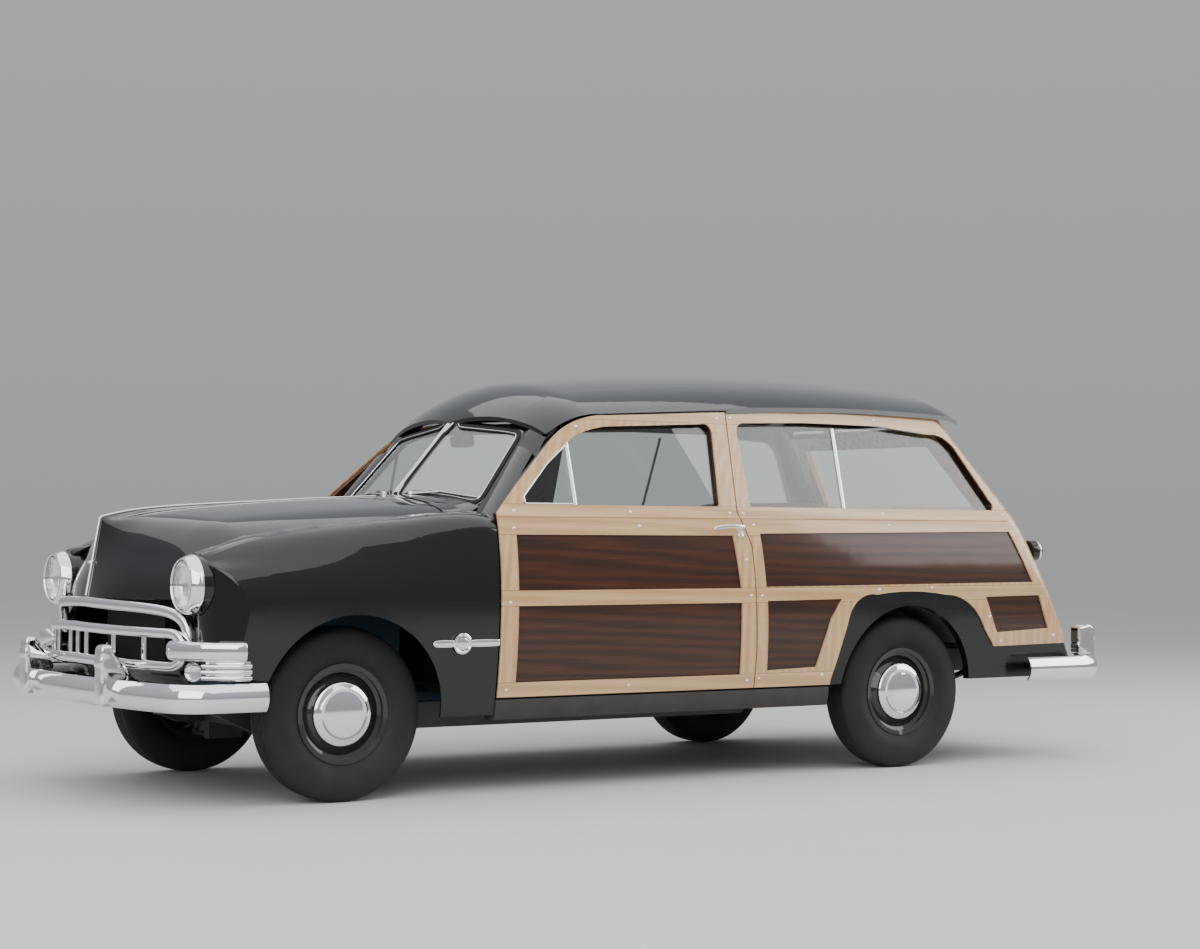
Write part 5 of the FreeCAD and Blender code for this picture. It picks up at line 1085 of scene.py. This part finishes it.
def grilleCorner():
    # the housing, its ends drawn in by square roots of the distance from them, then three fins and their
    # backing
    path, out = planPath(grille["wing"], grille["wingMiddle"], 60)
    (inner, innerLeast), (outer, outerLeast) = grille["wingEnds"]
    swell = np.sqrt(np.clip(np.linspace(0, inner, 60), innerLeast, 1)
                    * np.clip(np.linspace(outer, 0, 60), outerLeast, 1))
    wide, deep = grille["wingHalf"] * swell, grille["wingDeep"] * swell
    parts = [carried(path, out, wide, deep, sides=32, square=0.62)]
    for z in grille["fins"]:
        path, out = planPath(grille["finPlan"], z, 40)
        parts.append(carried(path, out, grille["finHalf"], grille["finDeep"], sides=16, square=0.7))
    path, out = planPath(grille["backing"], grille["backingMiddle"], 30)
    parts.append(carried(path, out, *grille["backingSize"], sides=12, square=0.4))
    return bothSides(*parts)


makePiece("grille_bright", joined(grilleArch(), grilleRing(), *grilleBars(), grilleCorner()), "body",
          "chrome", ("grille",), 48)
print("grille")


# lamps

lamps = dict(
    # x, place aft and height of the middle, then the way each lamp's depth runs
    head=(681, -662, 870), headAxis=(0, 1, 0), park=(778, -654, 538), parkAxis=(-0.50, 0.86, 0),
    # x, height and stand-off from the tail
    tail=(792, 1004, 2), tailAxis=(0.25, 1, 0.1),
    # radius and depth of each profile, metres
    rim=((0.0955, 0.010), (0.0965, 0.002), (0.0995, -0.001), (0.1030, 0.001), (0.1090, 0.010),
         (0.1140, 0.021), (0.1170, 0.031), (0.1185, 0.037), (0.1200, 0.040), (0.1200, 0.045),
         (0.1000, 0.045), (0.0950, 0.020)),
    bucket=((0.1000, 0.042), (0.1165, 0.042), (0.1170, 0.060), (0.1170, 0.100), (0.1000, 0.100)),
    lens=((0.0, -0.0135), (0.03, -0.0122), (0.058, -0.0082), (0.080, -0.0020), (0.0945, 0.0070),
          (0.0945, 0.0105), (0.078, 0.0020), (0.056, -0.0048), (0.028, -0.0088), (0.0, -0.0100)),
    flutePitch=0.0085, fluteDepth=0.0007, fluteReach=0.088,
    bowl=((0.0945, 0.012), (0.088, 0.028), (0.070, 0.046), (0.045, 0.058), (0.018, 0.064), (0.0, 0.065),
          (0.0, 0.067), (0.0465, 0.0605), (0.072, 0.048), (0.0905, 0.029), (0.0955, 0.014)),
    bulb=((0.0, 0.034), (0.008, 0.037), (0.0125, 0.044), (0.0125, 0.062), (0.0, 0.062)),
    parkLens=((0.0, -0.016), (0.014, -0.014), (0.026, -0.008), (0.0345, 0.001), (0.0345, 0.004),
              (0.0, 0.004)),
    parkRim=((0.0335, 0.004), (0.0345, 0.000), (0.036, -0.001), (0.038, 0.002), (0.0385, 0.010),
             (0.037, 0.040), (0.0, 0.040), (0.0, 0.009), (0.0335, 0.009)),
    tailLens=((0.0, 0.050), (0.016, 0.0485), (0.030, 0.043), (0.040, 0.034), (0.0435, 0.027), (0.0435, 0.022),
              (0.0, 0.022)),
    tailRim=((0.0430, 0.022), (0.0435, 0.0275), (0.0455, 0.0290), (0.0480, 0.0275), (0.0495, 0.0225),
             (0.0495, 0.0170), (0.0430, 0.0170)),
    tailBody=((0.0, 0.0215), (0.0425, 0.0215), (0.0425, 0.0165), (0.0485, 0.0165), (0.0510, 0.0080),
              (0.0530, -0.0200), (0.0, -0.0200)))


def fluted(part, centre):
    # vertical flutes on the lens face: it drops back by half of one less the cosine of the place across
    points, faces = part
    across = points[:, 0] - centre[0]
    wave = 0.5 - 0.5 * np.cos(2 * np.pi * across / lamps["flutePitch"])
    inside = np.hypot(across, points[:, 2] - centre[2]) < lamps["fluteReach"]
    return points + (wave * inside)[:, None] * np.array([0, lamps["fluteDepth"], 0]), faces


def makeLamps():
    head, headAxis = spot(*lamps["head"]), lamps["headAxis"]
    lens = np.array(lamps["lens"])
    step = np.linspace(0, len(lens) - 1, 64)
    lens = np.stack([np.interp(step, np.arange(len(lens)), lens[:, n]) for n in (0, 1)], -1)
    lens = fluted(turned(lens, head, headAxis, 128), head)
    bowl = joined(turned(lamps["bowl"], head, headAxis, 64), turned(lamps["bulb"], head, headAxis, 24))
    park, parkAxis = spot(*lamps["park"]), lamps["parkAxis"]
    x, z, stand = lamps["tail"]
    tail, tailAxis = spot(x, tailPlace(z) + stand, z), lamps["tailAxis"]
    # name, surface of the left one, slot, replaced node, sharp angle
    rows = (("headlamp_buckets", turned(lamps["bucket"], head, headAxis, 64), "body_paint", (), 50),
            ("headlamp_bezels", turned(lamps["rim"], head, headAxis, 96), "chrome", ("headlamp_rims",), 50),
            ("headlamp_bowls", bowl, "chrome", (), 50),
            ("headlamp_lenses", lens, "lamp_glass", ("headlamps",), 60),
            ("parking_lamp_rims", turned(lamps["parkRim"], park, parkAxis, 40), "chrome", (), 50),
            ("parking_lamp_lenses", turned(lamps["parkLens"], park, parkAxis, 24), "lamp_glass",
             ("parking_lamps",), 12),
            ("tail_lamp_housings", turned(lamps["tailBody"], tail, tailAxis, 56), "body_paint", (), 40),
            ("tail_lamp_rims", turned(lamps["tailRim"], tail, tailAxis, 56), "chrome", (), 50),
            ("tail_lamp_lenses", turned(lamps["tailLens"], tail, tailAxis, 40), "tail_lens",
             ("tail_lamps",), 30))
    for name, part, slot, replaces, sharp in rows:
        makePiece(name, bothSides(part), "body", slot, replaces, sharp)


makeLamps()
print("lamps")


# tailgate handle

tailHandle = dict(height=1004, half=0.072, clear=0.004, grip=0.0085, flat=0.7, stand=0.034,
                  foot=(0.017, 0.008),
                  facing=(0, 1, 0.1))


def makeTailHandle():
    # lever bowed out over its two feet: stand * (1 - s^4) along the share s of its half length
    half, facing = tailHandle["half"], tailHandle["facing"]
    y, z = spot(0, tailPlace(tailHandle["height"]), tailHandle["height"])[1:]
    s = np.linspace(-1, 1, 41)
    out = y + tailHandle["clear"] + tailHandle["stand"] * (1 - s ** 4)
    path = np.stack([half * s, out, z + 0 * s], -1)
    lever = carried(path, facing, tailHandle["grip"], tailHandle["grip"] * tailHandle["flat"], square=0.8)
    feet = domes([(-half, y, z), (half, y, z)], [facing] * 2, *tailHandle["foot"], sides=24)
    makePiece("tailgate_handle", joined(lever, feet), "tailgate", "chrome", sharp=50)


makeTailHandle()
print("tailgate handle")


# bumper guards and bolts

guard = dict(
    # height, front, back, half width; places aft of the front axle
    front=((392, -874, -852, 20), (398, -886, -850, 31), (420, -893, -848, 36), (470, -893.5, -790, 38),
           (505, -893, -762, 38), (540, -893, -780, 38), (575, -892.5, -808, 37), (600, -892, -836, 37),
           (616, -890, -838, 36), (627, -884, -842, 31), (633, -872, -852, 18)),
    rear=((397, 4218, 4196, 20), (404, 4230, 4192, 30), (430, 4237, 4190, 35), (480, 4237.5, 4160, 36),
          (520, 4237, 4124, 36), (560, 4236.5, 4126, 35), (600, 4235, 4128, 34), (622, 4229, 4134, 31),
          (634, 4216, 4142, 24)),
    # x of the front and the rear guard
    x=(411, 705), sides=40, square=0.38,
    # x, place, height, then the way each bolt faces; radius and rise
    bolts=((822, -757, 435, 0.60, -0.80), (915, -607, 432, 0.97, -0.24)), bolt=(0.0125, 0.009))


def guardSurface(table, x):
    # superellipse sections |cos|^0.38, |sin|^0.38 between the front and back of each height, along a smooth
    # line of sizes
    rows = smoothLine(table, 60)[..., None]
    z, front, back, wide = rows[:, 0], rows[:, 1], rows[:, 2], rows[:, 3]
    angle = circle(guard["sides"])
    c, s = [signedPower(wave, guard["square"]) for wave in (np.cos(angle), np.sin(angle))]
    return lofted(spot(x + wide * c, (front + back) / 2 + np.abs(front - back) / 2 * s, z))


def makeGuards():
    parts = [guardSurface(guard["front"], guard["x"][0]), guardSurface(guard["rear"], guard["x"][1])]
    x, place, z, outX, outY = np.array(guard["bolts"]).T
    parts.append(domes(spot(x, place, z), np.stack([outX, outY, 0 * x], -1), *guard["bolt"], sides=20))
    makePiece("bumper_guards", bothSides(*parts), "body", "chrome", sharp=50)


makeGuards()
print("bumper guards")


# fender spears

spear = dict(height=629, lift=3.0, centre=474,
             # place aft, half height, half depth in metres
             wing=((338, 0.003, 0.002), (352, 0.013, 0.004), (400, 0.0155, 0.0055), (440, 0.013, 0.0055),
                   (474, 0.011, 0.0055), (508, 0.013, 0.0055), (560, 0.0155, 0.0055), (630, 0.0145, 0.005),
                   (652, 0.0125, 0.003)),
             ring=((0.030, 0.002), (0.041, 0.003), (0.043, 0.009), (0.036, 0.0125), (0.030, 0.009),
                   (0.030, 0.002)),
             boss=((0.0, 0.002), (0.026, 0.002), (0.027, 0.007), (0.018, 0.0105), (0.0, 0.012)))


def makeSpears():
    wing = smoothLine(spear["wing"], 60)
    line = sidePoint(wing[:, 0], spear["height"], spear["lift"], quarter=False)
    normal = sideNormal(wing[:, 0], spear["height"], False)
    centre, outward = sideFrame(spear["centre"], spear["height"], False)
    part = bothSides(carried(line, normal, wing[:, 1], wing[:, 2], sides=18, square=0.8),
                     turned(spear["ring"], centre, outward, 48), turned(spear["boss"], centre, outward, 48))
    makePiece("fender_spears", part, "body", "chrome")


makeSpears()
print("fender spears")


# tyres and hubcaps

tyre = dict(
    centreX=(0.710, 0.748), around=320, across=75, ribs=(-0.034, -0.017, 0.0, 0.017, 0.034),
    grooveHalf=0.0028, grooveDepth=0.007, grooveEdge=0.0009, zigzag=0.0022, pitch=72,
    # scallops round the shoulder: x of their middle, half width and depth
    lug=(0.062, 0.006, 0.0018),
    # section of the CAD tyre, half width and radius in metres, from bead to tread
    side=((0.058, 0.1883), (0.059, 0.203), (0.078, 0.226), (0.0868, 0.250), (0.0876, 0.275), (0.0835, 0.308),
          (0.0745, 0.333), (0.0655, 0.3440), (0.0545, 0.3488)), treadEdge=0.0525, crown=0.352,
          crownFall=0.0030,
    # hubcap: radius and distance out from the wheel's middle
    cap=((0.0, 0.0812), (0.028, 0.0806), (0.058, 0.0782), (0.086, 0.0738), (0.094, 0.0722), (0.097, 0.0735),
         (0.102, 0.0738), (0.106, 0.0712), (0.120, 0.0672), (0.1285, 0.0632), (0.1305, 0.0600),
         (0.1295, 0.0470), (0.1270, 0.0470), (0.1270, 0.0600), (0.0, 0.0640)),
    # name, body, side, which of the two tracks, place aft
    wheels=(("fl", "wheel_front_left", 1, 0, 0), ("fr", "wheel_front_right", -1, 0, 0),
            ("rl", "wheel_rear_left", 1, 1, rearAxle), ("rr", "wheel_rear_right", -1, 1, rearAxle)))


def tyreSurface(centre):
    # section carried round the axle: side, tread face and side again, closed across the beads; zigzag
    # grooves are a drop in radius where x is near a rib line that swings with the angle, and scallops a
    # bell of x times half of one less the cosine of the angle
    shoulder = evenLine(tyre["side"], 20)
    shoulder[1:-1] = (shoulder[:-2] + 2 * shoulder[1:-1] + shoulder[2:]) / 4
    face = np.linspace(tyre["treadEdge"], -tyre["treadEdge"], tyre["across"])
    crown = tyre["crown"] - tyre["crownFall"] * (face / tyre["treadEdge"]) ** 2
    x = np.concatenate([shoulder[:, 0], face, -shoulder[::-1, 0]])[:, None]
    r = np.concatenate([shoulder[:, 1], crown, shoulder[::-1, 1]])[:, None]
    angle = circle(tyre["around"])[None]
    phase = (angle * tyre["pitch"] / (2 * np.pi)) % 1
    swing = tyre["zigzag"] * (4 * np.abs(phase - 0.5) - 1)
    away = np.min(np.abs(x[..., None] - np.array(tyre["ribs"]) - swing[..., None]), axis=2)
    onTread = np.abs(x) <= tyre["treadEdge"]
    cut = np.clip((tyre["grooveHalf"] - away) / tyre["grooveEdge"], 0, 1) * onTread
    middle, width, depth = tyre["lug"]
    lug = np.exp(-((np.abs(x) - middle) / width) ** 2) * (0.5 - 0.5 * np.cos(angle * tyre["pitch"]))
    radius = r - tyre["grooveDepth"] * cut - depth * lug
    points = np.stack([np.broadcast_to(x, radius.shape), radius * np.cos(angle), radius * np.sin(angle)], -1)
    return (points + centre).reshape(-1, 3), gridFaces(*radius.shape, closeAlong=True)


for name, body, side, track, place in tyre["wheels"]:
    centre = np.array([side * tyre["centreX"][track], float(aft(place)), axleHeight])
    makePiece("tread_tyre_" + name, tyreSurface(centre), body, "tyre_rubber", ("tyre_" + name,), 50)
    makePiece("hubcap_" + name, turned(tyre["cap"], centre, (side, 0, 0), 72), body, "chrome")
print("tyres and hubcaps")


# seats

seats = dict(
    # half width, front aft, length, foot, seat height, back top, lean in degrees, channels
    front_seat=(640, 1190, 520, 560, 760, 1190, 14, 16), rear_seat=(540, 2200, 470, 690, 880, 1240, 16, 14),
    channelDepth=0.009, crown=0.018, baseSquare=0.22, backSquare=0.26,
    # from the end of the seat's length: rear of the base, front and rear of the back, and the line it leans
    # about
    ends=(-112, -109, 29, -60), backBelow=55, backUnder=2)


def paddedBlock(low, high, power, channels, faceAxis):
    # superellipsoid box: each coordinate is half the size times signed powers of cos and sin; the padded
    # face has a crown, cosine of the place along it, and sewn channels, the sixth power of one less the
    # absolute cosine of the place across
    u = np.linspace(-np.pi / 2, np.pi / 2, 96)[:, None]
    v = np.linspace(-np.pi, np.pi, 220, endpoint=False)[None]
    ring = signedPower(np.cos(u), power)
    across = signedPower(np.sin(u), power) + 0 * v
    other = 3 - faceAxis
    shares = np.empty(across.shape + (3,))
    shares[..., 0] = across
    shares[..., faceAxis] = ring * signedPower(np.cos(v), power)
    shares[..., other] = ring * signedPower(np.sin(v), power)
    facing = np.clip(shares[..., faceAxis], 0, 1) ** 3
    inside = np.clip(1 - np.abs(shares[..., other]) ** 6, 0, 1) * np.clip(1 - np.abs(across) ** 12, 0, 1)
    groove = (1 - np.abs(np.cos(across * channels * np.pi / 2))) ** 6
    fall = seats["crown"] * (1 - inside * np.cos(shares[..., other] * 1.3))
    points = (high + low) / 2 + shares * (high - low) / 2
    points[..., faceAxis] -= facing * (seats["channelDepth"] * groove * inside + fall)
    return points.reshape(-1, 3), gridFaces(*across.shape)


def leaned(part, pivot, degrees):
    # turned back about a line across the car
    points, faces = part
    turn = math.radians(-degrees)
    c, s = math.cos(turn), math.sin(turn)
    y, z = points[:, 1] - pivot[1], points[:, 2] - pivot[2]
    return np.stack([points[:, 0], pivot[1] + c * y - s * z, pivot[2] + s * y + c * z], -1), faces


def makeSeat(name):
    half, front, length, foot, top, back, lean, channels = seats[name]
    baseRear, backFront, backRear, leanLine = [front + length + end for end in seats["ends"]]
    base = paddedBlock(spot(-half, front, foot), spot(half, baseRear, top), seats["baseSquare"], channels, 2)
    # the back is made facing aft and then turned to face forward
    low = spot(-half, backFront, top - seats["backBelow"])
    high = spot(half, backRear, back - seats["backUnder"])
    turnY = np.array([1, -1, 1])
    points, faces = paddedBlock(low * turnY, high * turnY, seats["backSquare"], channels, 1)
    rest = leaned((points * turnY, faces[:, ::-1]), spot(0, leanLine, top), lean)
    cover = makePiece(name + "_padding", joined(base, rest), "body", "seat_cover", (name,), 80)


makeSeat("front_seat")
makeSeat("rear_seat")
print("seats")
